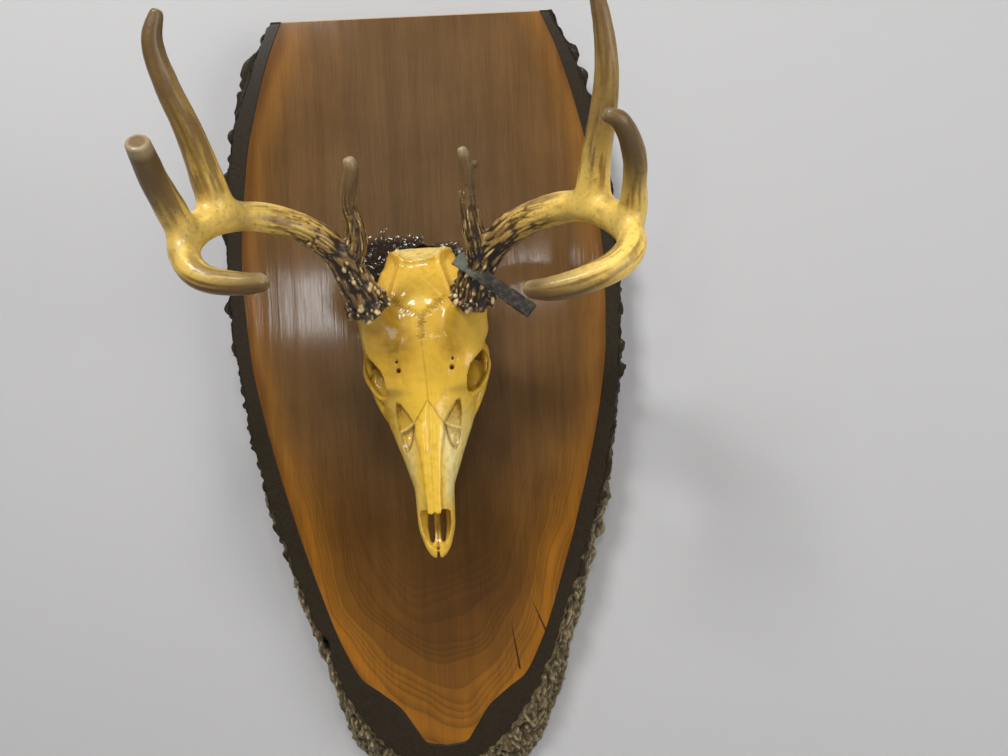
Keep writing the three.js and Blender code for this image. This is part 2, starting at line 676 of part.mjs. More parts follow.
function buildSkull() {
  const growths = [skullLoft(CRANIUM, 24, 16), skullLoft(NASAL_PLATE, 4, 6)];
  for (const hand of Object.values(HANDS)) {
    growths.push(orbitRim(hand), zygomaticArch(hand), postorbitalBar(hand), toothSocketRidge(hand));
    growths.push(skullEllipsoid(CONDYLE.along, hand * CONDYLE.side, CONDYLE.up, CONDYLE.radii));
    growths.push(skullEllipsoid(BULLA.along, hand * BULLA.side, BULLA.up, BULLA.radii));
    growths.push(jugularProcess(hand));
    for (let i = 0; i < TOOTH_ROW.sizes.length; i++) growths.push(tooth(i, hand));
  }
  growths.push(pedicle(ANTLERS.left.beam, -1), pedicle(ANTLERS.right.beam, 1));

  const hollows = [skullLoft(NOSE_CHANNEL, 7, 8)];
  for (const hand of Object.values(HANDS)) {
    hollows.push(eyeSocket(hand), palateSlot(hand), tearPit(hand), tearSlit(hand), browForamen(hand));
  }
  hollows.push(foramenMagnum(), tipNotch(), skullEllipsoid(176, 0, -78, [20, 9, 11]));
  return unite(growths).subtract(unite(hollows));
}

const palateSlot = (hand) => block(
  onSide([[12, 5], [17, 2.6], [50, 2.6], [56, 5], [50, 8.6], [28, 9.2], [18, 8.2]], hand),
  -60, -20,
);

// The eye socket narrows inward from its rim.
function eyeSocket(hand) {
  const { radius, rim } = ORBIT;
  const bowl = new THREE.SphereGeometry(1, 9, 7);
  bowl.scale(36, radius - rim * 0.4, radius - rim * 0.4);
  bowl.rotateZ(-hand * ORBIT.pitch);
  bowl.rotateY(hand * ORBIT.yaw);
  const centre = inSkull(ORBIT.along, hand * (ORBIT.side + 4), ORBIT.up + 1);
  bowl.translate(centre.x, centre.y, centre.z);
  return solid(bowl);
}

// The opening in front of the eye is a shallow pit that follows the face, with a slit along its outer edge.
function tearPit(hand) {
  const inset = ([along, top, half, ...rest]) => [along, top - FACE_INSET, half - FACE_INSET, ...rest];
  return block(onSide(TEAR_PIT_OUTLINE, hand), -34, 8).subtract(skullLoft(CRANIUM.map(inset), 12, 16));
}

const tearSlit = (hand) => block(onSide(TEAR_SLIT_OUTLINE, hand), -34, 8);

function browForamen(hand) {
  const hole = new THREE.CylinderGeometry(BROW_FORAMEN.radius, BROW_FORAMEN.radius, 16, 8);
  const centre = inSkull(BROW_FORAMEN.along, hand * BROW_FORAMEN.side, 3);
  hole.translate(centre.x, centre.y, centre.z);
  return solid(hole);
}

function foramenMagnum() {
  const hole = new THREE.CylinderGeometry(1, 1, 50, 14);
  hole.rotateX(Math.PI / 2);
  hole.scale(FORAMEN_MAGNUM.halfWidth, FORAMEN_MAGNUM.halfHeight, 1);
  const centre = inSkull(SKULL_LENGTH - 5, 0, FORAMEN_MAGNUM.up);
  hole.translate(centre.x, centre.y, centre.z);
  return solid(hole);
}

const tipNotch = () => block([[-3, -1.3], [-3, 1.3], [9, 0.8], [9, -0.8]], -50, -10);

function premaxillaCutter(gap) {
  const { bottomAlong, topAlong, bottomUp, topUp } = PREMAXILLA_SIDE;
  const outline = [
    [-10, bottomUp - 20], [bottomAlong + gap, bottomUp], [topAlong + gap, topUp], [-10, topUp + 20],
  ];
  const ring = (side) => outline.map(([along, up]) => inSkull(along, side, up));
  return solid(loft([ring(-WIDE), ring(WIDE)]));
}

const middleHalf = (hand) => block(
  onSide([[-20, GAP / 2], [-20, WIDE], [SKULL_LENGTH + 20, WIDE], [SKULL_LENGTH + 20, GAP / 2]], hand),
  BELOW, ABOVE,
);

function buildBones() {
  let rest = buildSkull();
  const take = (small, large) => {
    const piece = rest.intersect(small);
    rest = rest.subtract(large);
    return piece;
  };
  const takePair = (outline, low, high) => {
    const pair = (gap) => unite(
      Object.values(HANDS).map((hand) => block(grown(onSide(outline, hand), gap), low - gap, high + gap)),
    );
    return take(pair(0), pair(GAP));
  };
  const pairs = {
    nasal: takePair(NASAL_OUTLINE, NASAL_UNDERSIDE, NASAL_TOP),
    frontal: takePair(FRONTAL_OUTLINE, BROW_UNDERSIDE, ABOVE),
    premaxilla: take(premaxillaCutter(0), premaxillaCutter(GAP)),
    cheekbone: takePair(CHEEK_OUTLINE, CHEEK_UNDERSIDE, BROW_UNDERSIDE),
    upper_jaw: take(block(JAW_OUTLINE, BELOW, ABOVE), block(grown(JAW_OUTLINE, GAP), BELOW, ABOVE)),
  };
  const bones = { braincase: rest };
  for (const [side, hand] of Object.entries(HANDS)) {
    const half = middleHalf(hand);
    for (const [name, pair] of Object.entries(pairs)) bones[`${name}_${side}`] = pair.intersect(half);
  }
  return bones;
}

// ---------------------------------------------------------------- assembly

for (const [name, bone] of Object.entries(buildBones())) addPiece(skullGroup, name, bone, boneLook(name));

for (const [hand, antler] of Object.entries(ANTLERS)) {
  for (const [name, body] of buildAntler(hand, antler)) {
    const seated = hand === 'right' ? body.subtract(ironBar(GAP)) : body;
    addPiece(model, name, seated, /base|brow/.test(name) ? ANTLER_BASE : ANTLER);
  }
}
addPiece(model, 'iron_bar', ironBar(), DARK_IRON);

export default model;
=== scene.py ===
# European skull mount of a white-tailed buck on a live-edge board, hung on a pale wall.
# The frame is in metres; sizes in the dictionaries are in millimetres unless a note says otherwise.
import math

import bmesh
import bpy
import numpy as np
from mathutils import Matrix, Vector


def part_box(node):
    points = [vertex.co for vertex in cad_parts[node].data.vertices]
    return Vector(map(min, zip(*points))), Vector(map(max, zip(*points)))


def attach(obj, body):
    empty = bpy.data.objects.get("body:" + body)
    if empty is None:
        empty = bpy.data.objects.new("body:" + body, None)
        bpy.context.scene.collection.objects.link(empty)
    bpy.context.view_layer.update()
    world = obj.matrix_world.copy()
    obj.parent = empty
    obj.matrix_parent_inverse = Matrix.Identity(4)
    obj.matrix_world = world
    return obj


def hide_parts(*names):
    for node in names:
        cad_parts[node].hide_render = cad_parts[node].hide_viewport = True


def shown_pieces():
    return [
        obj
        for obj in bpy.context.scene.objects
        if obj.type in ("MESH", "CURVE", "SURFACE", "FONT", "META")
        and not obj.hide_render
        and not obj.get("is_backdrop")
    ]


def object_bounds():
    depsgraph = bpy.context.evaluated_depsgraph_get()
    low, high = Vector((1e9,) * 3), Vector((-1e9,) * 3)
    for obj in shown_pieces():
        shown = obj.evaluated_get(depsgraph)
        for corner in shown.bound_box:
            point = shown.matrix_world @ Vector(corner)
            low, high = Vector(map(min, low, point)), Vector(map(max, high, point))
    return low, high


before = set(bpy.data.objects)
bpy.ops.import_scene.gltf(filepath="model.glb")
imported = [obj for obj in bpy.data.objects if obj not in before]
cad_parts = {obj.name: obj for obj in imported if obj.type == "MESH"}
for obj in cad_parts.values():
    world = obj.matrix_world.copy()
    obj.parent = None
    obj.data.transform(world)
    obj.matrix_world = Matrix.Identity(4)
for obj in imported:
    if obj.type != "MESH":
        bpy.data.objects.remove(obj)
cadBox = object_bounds()
mm = 0.001
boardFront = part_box("board")[0][1] / mm  # the plane of the board's face
hands = {"left": -1, "right": 1}  # the viewer's left and right

# how fine the meshes are
detail = {
    "skullVoxel": 0.95,
    "antlerVoxel": 1.0,
    "skullTriangles": 190000,
    "antlerTriangles": 152000,
    # voxels of the first, rough joins, in finished voxels
    "skullGrowths": 1.45, "skullHollows": 0.85, "antlerGrowths": 1.3,
}

cameraPlace = {
    "location": (0.072, -0.789, 0.025),  # metres; 744 mm in front of the board's face
    "roll": 2.6,  # degrees
    "lens": 27.0,
    "sensor": 36.0,
}


def newObject(name, data):
    obj = bpy.data.objects.new(name, data)
    bpy.context.scene.collection.objects.link(obj)
    return obj


def buildCamera():
    data = bpy.data.cameras.new("camera")
    data.lens = cameraPlace["lens"]
    data.sensor_width = cameraPlace["sensor"]
    camera = newObject("camera", data)
    level = Matrix.Rotation(math.radians(90), 4, "X")
    roll = Matrix.Rotation(-math.radians(cameraPlace["roll"]), 4, "Z")
    camera.matrix_world = Matrix.Translation(cameraPlace["location"]) @ level @ roll
    bpy.context.scene.camera = camera


def cubic(t, start, end, into, out):
    # from start to end with the given slopes there
    return (
        (2 * t**3 - 3 * t**2 + 1) * start + (t**3 - 2 * t**2 + t) * into
        + (3 * t**2 - 2 * t**3) * end + (t**3 - t**2) * out
    )


def keyed(rows, key):
    # smooth values between rows of [key, value, ...] that never overshoot; one row of values for each key
    table = np.array(rows, float)
    keys, values = table[:, 0], table[:, 1:]
    spans = np.diff(keys)[:, None]
    slopes = np.diff(values, axis=0) / spans
    product = slopes[1:] * slopes[:-1]
    total = slopes[1:] + slopes[:-1]
    inner = np.where(product > 0, 2 * product / np.where(total == 0, 1, total), 0)
    tangents = np.vstack([slopes[:1], inner, slopes[-1:]])
    key = np.atleast_1d(np.asarray(key, float))
    i = np.clip(np.searchsorted(keys, key, side="right") - 1, 0, len(keys) - 2)
    span = spans[i]
    t = np.clip((key - keys[i]) / span[:, 0], 0, 1)[:, None]
    return cubic(t, values[i], values[i + 1], span * tangents[i], span * tangents[i + 1])


def ramp(value, low, high):
    # smooth step from 0 at low to 1 at high
    t = np.clip((value - low) / (high - low), 0, 1)
    return t * t * (3 - 2 * t)


def bell(value, middle, width):
    return np.exp(-(((value - middle) / width) ** 2))


def noiseAt(points, size, seed=0):
    # repeatable smooth noise between -1 and 1; size is the width of a lump
    place = points / size
    cell = np.floor(place).astype(np.int64)
    part = place - cell
    part = part * part * (3 - 2 * part)
    total = 0
    for dx in (0, 1):
        for dy in (0, 1):
            for dz in (0, 1):
                # a hash of the cell's corner
                mixed = (cell[:, 0] + dx) * 374761393 + (cell[:, 1] + dy) * 668265263
                mixed = mixed + (cell[:, 2] + dz) * 2147483629 + seed * 97463
                mixed = ((mixed ^ (mixed >> 13)) * 1274126177) & 0xFFFFFFFF
                value = ((mixed ^ (mixed >> 16)) & 0xFFFF) / 32767.5 - 1
                share = (part[:, 0] if dx else 1 - part[:, 0]) * (part[:, 1] if dy else 1 - part[:, 1])
                total = total + value * share * (part[:, 2] if dz else 1 - part[:, 2])
    return total


def lumps(points, size, seed=0, octaves=3):
    # noise with finer noise on it, still between -1 and 1
    layers = sum(noiseAt(points, size / 2**i, seed + i) / 2**i for i in range(octaves))
    return layers / (2 - 2 ** (1 - octaves))


def meshed(name, bm):
    mesh = bpy.data.meshes.new(name)
    bm.to_mesh(mesh)
    bm.free()
    mesh.shade_smooth()
    return newObject(name, mesh)


def finished(name, bm):
    bmesh.ops.recalc_face_normals(bm, faces=bm.faces)
    return meshed(name, bm)


def sweptSkin(name, place, around, along):
    # a grid bent round into a closed skin; place(u, v) gives points, u runs round and v along, both 0 to 1
    bm = bmesh.new()
    bmesh.ops.create_grid(bm, x_segments=around, y_segments=along, size=0.5)
    flat = np.array([vert.co[:2] for vert in bm.verts]) + 0.5
    for vert, point in zip(bm.verts, place(flat[:, 0], flat[:, 1])):
        vert.co = point
    bmesh.ops.remove_doubles(bm, verts=bm.verts, dist=1e-6)
    bmesh.ops.holes_fill(bm, edges=[edge for edge in bm.edges if edge.is_boundary])
    return finished(name, bm)


def joined(name, parts):
    bm = bmesh.new()
    for part in parts:
        bm.from_mesh(part.data)
        bpy.data.objects.remove(part)
    return meshed(name, bm)


def modified(obj, kind, **settings):
    # puts one modifier on the object and applies it
    modifier = obj.modifiers.new(kind.lower(), kind)
    for key, value in settings.items():
        setattr(modifier, key, value)
    graph = bpy.context.evaluated_depsgraph_get()
    mesh = bpy.data.meshes.new_from_object(obj.evaluated_get(graph))
    obj.modifiers.clear()
    obj.data = mesh
    mesh.shade_smooth()
    return obj


def fused(obj, voxel):
    return modified(obj, "REMESH", mode="VOXEL", voxel_size=voxel * mm)


def carved(obj, cutter):
    modified(obj, "BOOLEAN", operation="DIFFERENCE", solver="EXACT", object=cutter)
    bpy.data.objects.remove(cutter)
    return obj


def thinned(obj, most):
    triangles = sum(len(face.vertices) - 2 for face in obj.data.polygons)
    return modified(obj, "DECIMATE", ratio=most / triangles) if triangles > most else obj


def vertexValues(obj, key):
    flat = np.empty(len(obj.data.vertices) * 3)
    obj.data.vertices.foreach_get(key, flat)
    return flat.reshape(-1, 3)


def pointsOf(obj):
    return vertexValues(obj, "co") / mm


def normalsOf(obj):
    return vertexValues(obj, "normal")


def gapTo(points, place):
    return np.linalg.norm(points - place, axis=1)


def setPoints(obj, points):
    obj.data.vertices.foreach_set("co", (points * mm).ravel())
    obj.data.update()


def relax(obj, rounds, mask=1):
    # draws every point halfway to the middle of its neighbours, where the mask is 1
    mesh = obj.data
    pairs = np.empty(len(mesh.edges) * 2, int)
    mesh.edges.foreach_get("vertices", pairs)
    pairs = pairs.reshape(-1, 2)
    points = pointsOf(obj)
    number = np.bincount(pairs.ravel(), minlength=len(points))[:, None]
    share = 0.5 * np.reshape(mask, (-1, 1))
    for _ in range(rounds):
        total = np.stack([
            np.bincount(pairs[:, 0], points[pairs[:, 1], axis], len(points))
            + np.bincount(pairs[:, 1], points[pairs[:, 0], axis], len(points))
            for axis in range(3)
        ], 1)
        points += (total / number - points) * share
    setPoints(obj, points)


def hollowness(obj, rounds=6):
    # how far each point lies under its smoothed surroundings, in mm; creases are above 0
    before = pointsOf(obj)
    normals = normalsOf(obj)
    relax(obj, rounds)
    after = pointsOf(obj)
    setPoints(obj, before)
    return ((after - before) * normals).sum(1)


def paint(obj, name, values):
    # a value from 0 to 1 at each point, read by the materials
    layer = obj.data.attributes.get(name) or obj.data.attributes.new(name, "FLOAT", "POINT")
    layer.data.foreach_set("value", np.clip(values, 0, 1).astype(np.float32))


def curvePoints(points, place):
    # a smooth curve through the points, at places 0 to the last point's number
    points = np.array(points, float)
    every = np.vstack([[2 * points[0] - points[1]], points, [2 * points[-1] - points[-2]]])
    i = np.clip(np.floor(place).astype(int), 0, len(points) - 2)
    t = (place - i)[:, None]
    before, start, end, after = (every[i + k] for k in range(4))
    pairs = ((before, start), (start, end), (end, after))
    gaps = [np.sqrt(np.linalg.norm(b - a, axis=1))[:, None] for a, b in pairs]
    into = (start - before) / gaps[0] - (end - before) / (gaps[0] + gaps[1]) + (end - start) / gaps[1]
    out = (end - start) / gaps[1] - (after - start) / (gaps[1] + gaps[2]) + (after - end) / gaps[2]
    return cubic(t, start, end, into * gaps[1], out * gaps[1])


def route(rows, steps, upward=None):
    # centres, radii and two cross directions along a curve of [x, y, z, radius] rows
    rows = np.array(rows, float)
    place = np.linspace(0, len(rows) - 1, steps)
    centres = curvePoints(rows[:, :3], place)
    radii = np.interp(place, np.arange(len(rows)), rows[:, 3])
    tangents = np.gradient(centres, axis=0)
    tangents /= np.linalg.norm(tangents, axis=1)[:, None]
    sides = np.empty_like(tangents)
    # without a given direction each place hands its side on to the next, from a start no curve follows
    guess = np.array(upward if upward is not None else (0.31, 0.23, 0.92), float)
    for n, tangent in enumerate(tangents):
        side = guess - guess.dot(tangent) * tangent
        sides[n] = side / np.linalg.norm(side)
        if upward is None:
            guess = sides[n]
    across = np.cross(tangents, sides)
    return {"centre": centres, "radius": radii, "side": sides, "across": across, "tangent": tangents}


def reachAlong(path):
    # how far along a route each of its places is, in millimetres
    return np.concatenate([[0], np.cumsum(np.linalg.norm(np.diff(path["centre"], axis=0), axis=1))])


def tubeSkin(name, rows, around=24, steps=60, flat=1.0, upward=None):
    # a round tube with rounded ends along the rows, given in world millimetres
    path = route(rows, steps, upward)
    spots = np.linspace(0, 1, steps)

    def place(u, v):
        def at(key):
            values = path[key]
            if values.ndim == 1:
                return np.interp(v, spots, values)[:, None]
            return np.stack([np.interp(v, spots, values[:, k]) for k in range(3)], 1)
        angle = (2 * math.pi * u)[:, None]
        radius = at("radius")
        out = at("side") * radius * np.cos(angle) + at("across") * radius * flat * np.sin(angle)
        return (at("centre") + out) * mm
    return sweptSkin(name, place, around, steps)


def lump(name, centre, radii, turn=None):
    bm = bmesh.new()
    bmesh.ops.create_icosphere(bm, subdivisions=3, radius=1)
    bmesh.ops.scale(bm, vec=[radius * mm for radius in radii], verts=bm.verts)
    if turn is not None:
        bmesh.ops.transform(bm, matrix=turn, verts=bm.verts)
    bmesh.ops.translate(bm, vec=[c * mm for c in centre], verts=bm.verts)
    return finished(name, bm)


def rounded(bm, width, segments):
    geometry = {"geom": bm.edges[:], "affect": "EDGES", "material": -1}
    bmesh.ops.bevel(bm, offset=width * mm, segments=segments, profile=0.5, **geometry)


def block(name, corners, lift):
    # a flat outline pushed out into a closed block, in world millimetres
    bm = bmesh.new()
    face = bm.faces.new([bm.verts.new(np.array(corner) * mm) for corner in corners])
    raised = bmesh.ops.extrude_face_region(bm, geom=[face])["geom"]
    far = [item for item in raised if isinstance(item, bmesh.types.BMVert)]
    bmesh.ops.translate(bm, vec=Vector(np.array(lift) * mm), verts=far)
    return finished(name, bm)


def linear(hexColour):
    # sRGB hex to the renderer's linear colour
    parts = [int(hexColour[i:i + 2], 16) / 255 for i in (1, 3, 5)]
    return tuple(c / 12.92 if c <= 0.04045 else ((c + 0.055) / 1.055) ** 2.4 for c in parts) + (1.0,)


def addNode(tree, kind, inputs=None, out=0, stops=(), **settings):
    # adds a node and gives one of its outputs; inputs maps a socket's name or number to a value, a hex colour
    # or another node's output, and stops are a colour ramp's places and colours
    node = tree.nodes.new("ShaderNode" + kind)
    for key, value in settings.items():
        setattr(node, key, value)
    for key, value in (inputs or {}).items():
        if isinstance(value, bpy.types.NodeSocket):
            tree.links.new(value, node.inputs[key])
        else:
            node.inputs[key].default_value = linear(value) if isinstance(value, str) else value
    while stops and len(node.color_ramp.elements) < len(stops):
        node.color_ramp.elements.new(0.5)
    for n, (position, colour) in enumerate(stops):
        node.color_ramp.elements[n].position = position
        node.color_ramp.elements[n].color = linear(colour)
    return node.outputs[out]


def newMaterial(name, **settings):
    # settings are the shader's own inputs, with _ for a space
    material = bpy.data.materials.new(name)
    material.use_nodes = True
    shader = material.node_tree.nodes["Principled BSDF"]
    for key, value in settings.items():
        shader.inputs[key.replace("_", " ")].default_value = value
    return material, material.node_tree, shader


def readSurface(tree, painted=(), **noises):
    # the place on the object, the values painted on it, and noises given by lump size in mm and detail
    read = {"place": addNode(tree, "TexCoord", out="Object")}
    for name in painted:
        read[name] = addNode(tree, "Attribute", out="Fac", attribute_name=name)
    for name, (size, fineness) in noises.items():
        scale = 1 / (size * mm)
        read[name] = addNode(tree, "TexNoise", {"Vector": read["place"], "Scale": scale, "Detail": fineness})
    return read


skull = {
    "nose": (9.2, boardFront - 109.0, -127.6),  # front end of the line of the nose
    # degrees: nose off the board, nose to the right, brow to the right
    "tilt": 7.0, "lean": 1.7, "roll": 2.7,
    "length": 285.0,
    # rows of along, top, half width, widest level, bottom, fullness above, fullness below
    "sections": [
        [0.5, -26.5, 4.5, -31, -36, 2, 2], [4, -25, 7.5, -31, -38, 2.2, 2.2],
        [11, -22.5, 11.5, -31, -40, 2.4, 2.6], [19, -19, 14, -31, -42, 2.4, 3],
        [28, -14, 16.2, -31, -44, 2.4, 3.2], [38, -9, 16.8, -30, -45, 2.5, 3.2],
        [48, -4.5, 17, -30, -46, 2.5, 3.2], [60, -2.2, 17.4, -29, -47, 2.3, 3.2],
        [75, -0.6, 21.8, -32, -50, 2.05, 3.4], [93, 0, 28.2, -38, -54, 1.7, 3.4],
        [112, 0, 35.4, -44, -58, 1.5, 3.2], [125, 0.5, 39.8, -44, -62, 1.55, 2.8],
        [136, 1.5, 41.8, -38, -66, 1.75, 2.2], [143, 2.3, 40, -30, -68, 1.9, 1.4],
        [150, 3, 38, -8, -70, 2.3, 0.8], [159, 4.3, 41, -5, -71, 2.5, 0.66],
        [169, 5.5, 45.5, -4, -72, 2.6, 0.62], [179, 6.8, 50, -4, -72, 2.6, 0.62],
        [187, 8, 49, -6, -72, 2.3, 0.7],
        [196, 8.8, 43, -10, -71, 2.1, 1.1], [206, 9, 38.5, -17, -70, 2.1, 1.5],
        [218, 9, 37.5, -23, -72, 2.2, 1.7], [232, 5.5, 38.5, -29, -76, 2.2, 1.7],
        [249, -4, 42.5, -36, -80, 2.1, 1.7], [258, -10, 40, -40, -83, 2.1, 1.7],
        [266, -14.5, 36, -44, -85, 2.3, 1.9], [276, -23, 33.5, -50, -86, 2.6, 2.1],
        [283, -31, 30, -55, -84, 2.8, 2.2],
    ],
    "nasals": [
        [37.5, -1.2, 7, -2.6, -3.6, 2.4, 2.4], [43, -0.3, 7.4, -2.4, -3.8, 2.2, 2.4],
        [62, 0.2, 8, -2.6, -4.4, 2, 2.4], [90, 0.4, 10, -3.2, -5.4, 2, 2.4],
        [112, 0.5, 13.6, -4.6, -7, 2, 2.4], [126, 0.9, 8, -3, -7, 2, 2.4],
        [137, 1.5, 2, -2, -6, 2, 2.4],
    ],
    "noseChannel": [
        [10, -6, 3, -16, -31, 2, 3], [16, 4, 9.5, -16, -34, 2.5, 1.9], [28, 4, 12.6, -17, -37, 2.5, 1.9],
        [37, 2.5, 13.2, -18, -38, 2.5, 2], [41, -4.5, 13.2, -19, -38, 2.4, 2],
        [47, -9.5, 13, -20, -39, 2.4, 2.2], [75, -8, 14, -22, -42, 2.4, 2.6],
        [112, -6, 14, -30, -47, 2.2, 3], [128, -9, 13, -32, -48, 2, 3], [138, -16, 9, -30, -42, 2, 2],
    ],
    # tubes on both sides of the skull: rows of along, side, up and radius
    "tubes": {
        "cheek arch": {"flat": 0.5, "steps": 90, "rows": [
            [110, 27, -45, 4], [128, 38.5, -48, 7], [146, 46.5, -49, 8.5], [163, 52, -49, 8.5],
            [180, 53.5, -49.5, 7.5], [196, 51.5, -51.5, 5.5], [213, 48, -50, 5], [230, 43.5, -48, 6],
            [243, 38, -47, 8], [255, 30, -44, 8],
        ]},
        "postorbital bar": {"flat": 0.8, "upward": "along", "rows": [
            [180, 47, -2, 6], [185.5, 51.5, -15, 4.6], [186, 53, -31, 4.4], [181, 53.5, -48, 6],
        ]},
        "tooth socket ridge": {"flat": 0.75, "rows": [
            [70, 12, -42, 3], [88, 16, -51, 7], [115, 21.5, -61, 9], [140, 26, -70, 9.5], [158, 27.5, -73, 8],
            [166, 26, -69, 6],
        ]},
        "jugular process": {"flat": 0.7, "upward": "along", "steps": 30, "rows": [
            [262, 27, -62, 9], [265, 27, -80, 6], [263, 25.5, -99, 2.6],
        ]},
    },
    # lumps on both sides: centre as along, side and up, and radii in the same order
    "lumps": {
        "condyle": ((279, 13.5, -84), (10, 10.5, 13.5)),
        "ear bulb": ((238, 18, -77), (13, 8, 9)),
        "eye floor": ((157, 41, -49), (22, 12, 11)),
        "ear shelf": ((255, 33, -32), (9, 6.5, 10)),
    },
}
skullTurn = (
    Matrix.Rotation(-math.radians(skull["lean"]), 4, "Y")
    @ Matrix.Rotation(-math.radians(skull["tilt"]), 4, "X")
    @ Matrix.Rotation(math.radians(skull["roll"]), 4, "Z")
)


def outOfSkull(places):
    # along from the nose tip, side from the middle, up from the line of the nose, to world millimetres
    places = np.atleast_2d(np.asarray(places, float))
    local = np.stack([places[:, 1], -places[:, 2], places[:, 0]], 1)
    return local @ np.array(skullTurn.to_3x3()).T + np.array(skull["nose"])


def intoSkull(points):
    local = (points - np.array(skull["nose"])) @ np.array(skullTurn.to_3x3())
    return np.stack([local[:, 2], local[:, 0], -local[:, 1]], 1)


skullAxes = {name: outOfSkull([axis])[0] - outOfSkull([(0, 0, 0)])[0]
             for name, axis in (("along", (1, 0, 0)), ("side", (0, 1, 0)), ("up", (0, 0, 1)))}

orbit = {
    "along": 162, "side": 44.2, "up": -19, "radius": 20.6, "rim": 2.8, "bowlReach": 36,
    "yaw": 26, "pitch": 27,  # degrees
}


def sectionSkin(name, rows, around=96, along=150):
    first, last = rows[0][0], rows[-1][0]

    def place(u, v):
        key = first + (last - first) * v
        top, half, widest, bottom, above, below = keyed(rows, key).T
        angle = 2 * math.pi * u
        cosine, sine = np.cos(angle), np.sin(angle)
        power = 2 / np.where(sine > 0, above, below)
        side = half * np.sign(cosine) * np.abs(cosine) ** power
        reach = np.abs(sine) ** power
        up = np.where(sine > 0, widest + (top - widest) * reach, widest - (widest - bottom) * reach)
        return outOfSkull(np.stack([key, side, up], 1)) * mm
    return sweptSkin(name, place, around, along)


def skullTube(name, hand, rows, upward="up", **options):
    rows = np.array(rows, float) * [1, hand, 1, 1]
    world = np.hstack([outOfSkull(rows[:, :3]), rows[:, 3:]])
    return tubeSkin(name, world, upward=skullAxes[upward], **options)


def skullLump(name, centre, radii):
    # radii along, sideways and up
    return lump(name, outOfSkull([centre])[0], (radii[1], radii[2], radii[0]), skullTurn)


def orbitFrame(hand):
    # the eye opening's centre, and its outward, forward-back and up directions
    yaw, pitch = math.radians(orbit["yaw"]), math.radians(orbit["pitch"])
    turn = Matrix.Rotation(hand * yaw, 3, "Y") @ Matrix.Rotation(-hand * pitch, 3, "Z")
    whole = np.array(skullTurn.to_3x3() @ turn)
    centre = outOfSkull([(orbit["along"], hand * orbit["side"], orbit["up"])])[0]
    return centre, whole[:, 0] * hand, whole[:, 2], -whole[:, 1]


def orbitRim(hand):
    centre, outward, along, up = orbitFrame(hand)

    def place(u, v):
        ring, tube = 2 * math.pi * v[:, None], 2 * math.pi * u[:, None]
        radial = along * np.cos(ring) + up * np.sin(ring)
        reach = orbit["radius"] + orbit["rim"] * np.cos(tube)
        return (centre + radial * reach + outward * orbit["rim"] * np.sin(tube)) * mm
    return sweptSkin("orbit rim", place, 16, 72)


def eyeBowl(hand):
    centre, outward, along, up = orbitFrame(hand)
    wide = orbit["radius"] - 0.4 * orbit["rim"]
    turn = Matrix([[outward[k], along[k], up[k]] for k in range(3)]).to_4x4()
    return lump("eye bowl", centre + outward * 4 + up, (orbit["bowlReach"], wide, wide), turn)


def pedicle(hand):
    # spreads from under the burr down into the shoulder of the brow
    foot, lift = beamFoot("left" if hand < 0 else "right")
    rows = [[*(foot + lift * rise), radius]
            for rise, radius in ((-34, 23), (-24, 20.5), (-12, 16.8), (-4, 15.4), (3, 15.4))]
    return tubeSkin("pedicle", rows, steps=40, around=36)


def skullBlock(name, outline, low, high):
    # an upright block with an outline of along and side, rounded by the remesh
    corners = [outOfSkull([(along, side, low)])[0] for along, side in outline]
    return block(name, corners, skullAxes["up"] * (high - low))


# openings seen from above: outlines of along and side on one side
openings = {
    "palateSlot": [(11, 4.6), (17, 3), (50, 3), (56, 5), (50, 7.6), (28, 8.3), (17, 7)],
    "tipNotch": [(-3, -1.8), (-3, 1.8), (7, 1), (13, 0.7), (13, -0.7), (7, -1)],
    # sideways place, depth and half width of the notches in the end of the nasal bones
    "nasalNotches": [(0, 43.5, 1.7), (-4.6, 42, 1.3), (4.4, 41, 1.3)],
    "browHoles": [(164.5, 23, 2.3), (172, 24, 1.3)],  # along, side and radius
    "browHoleDepth": 6,
    # rounded hollows: centre and radii as along, side and up
    "spineHole": ((skull["length"] - 3, 0, -72), (26, 12.5, 11)),
    "behindPalate": ((176, 0, -78), (20, 9, 11)),
}


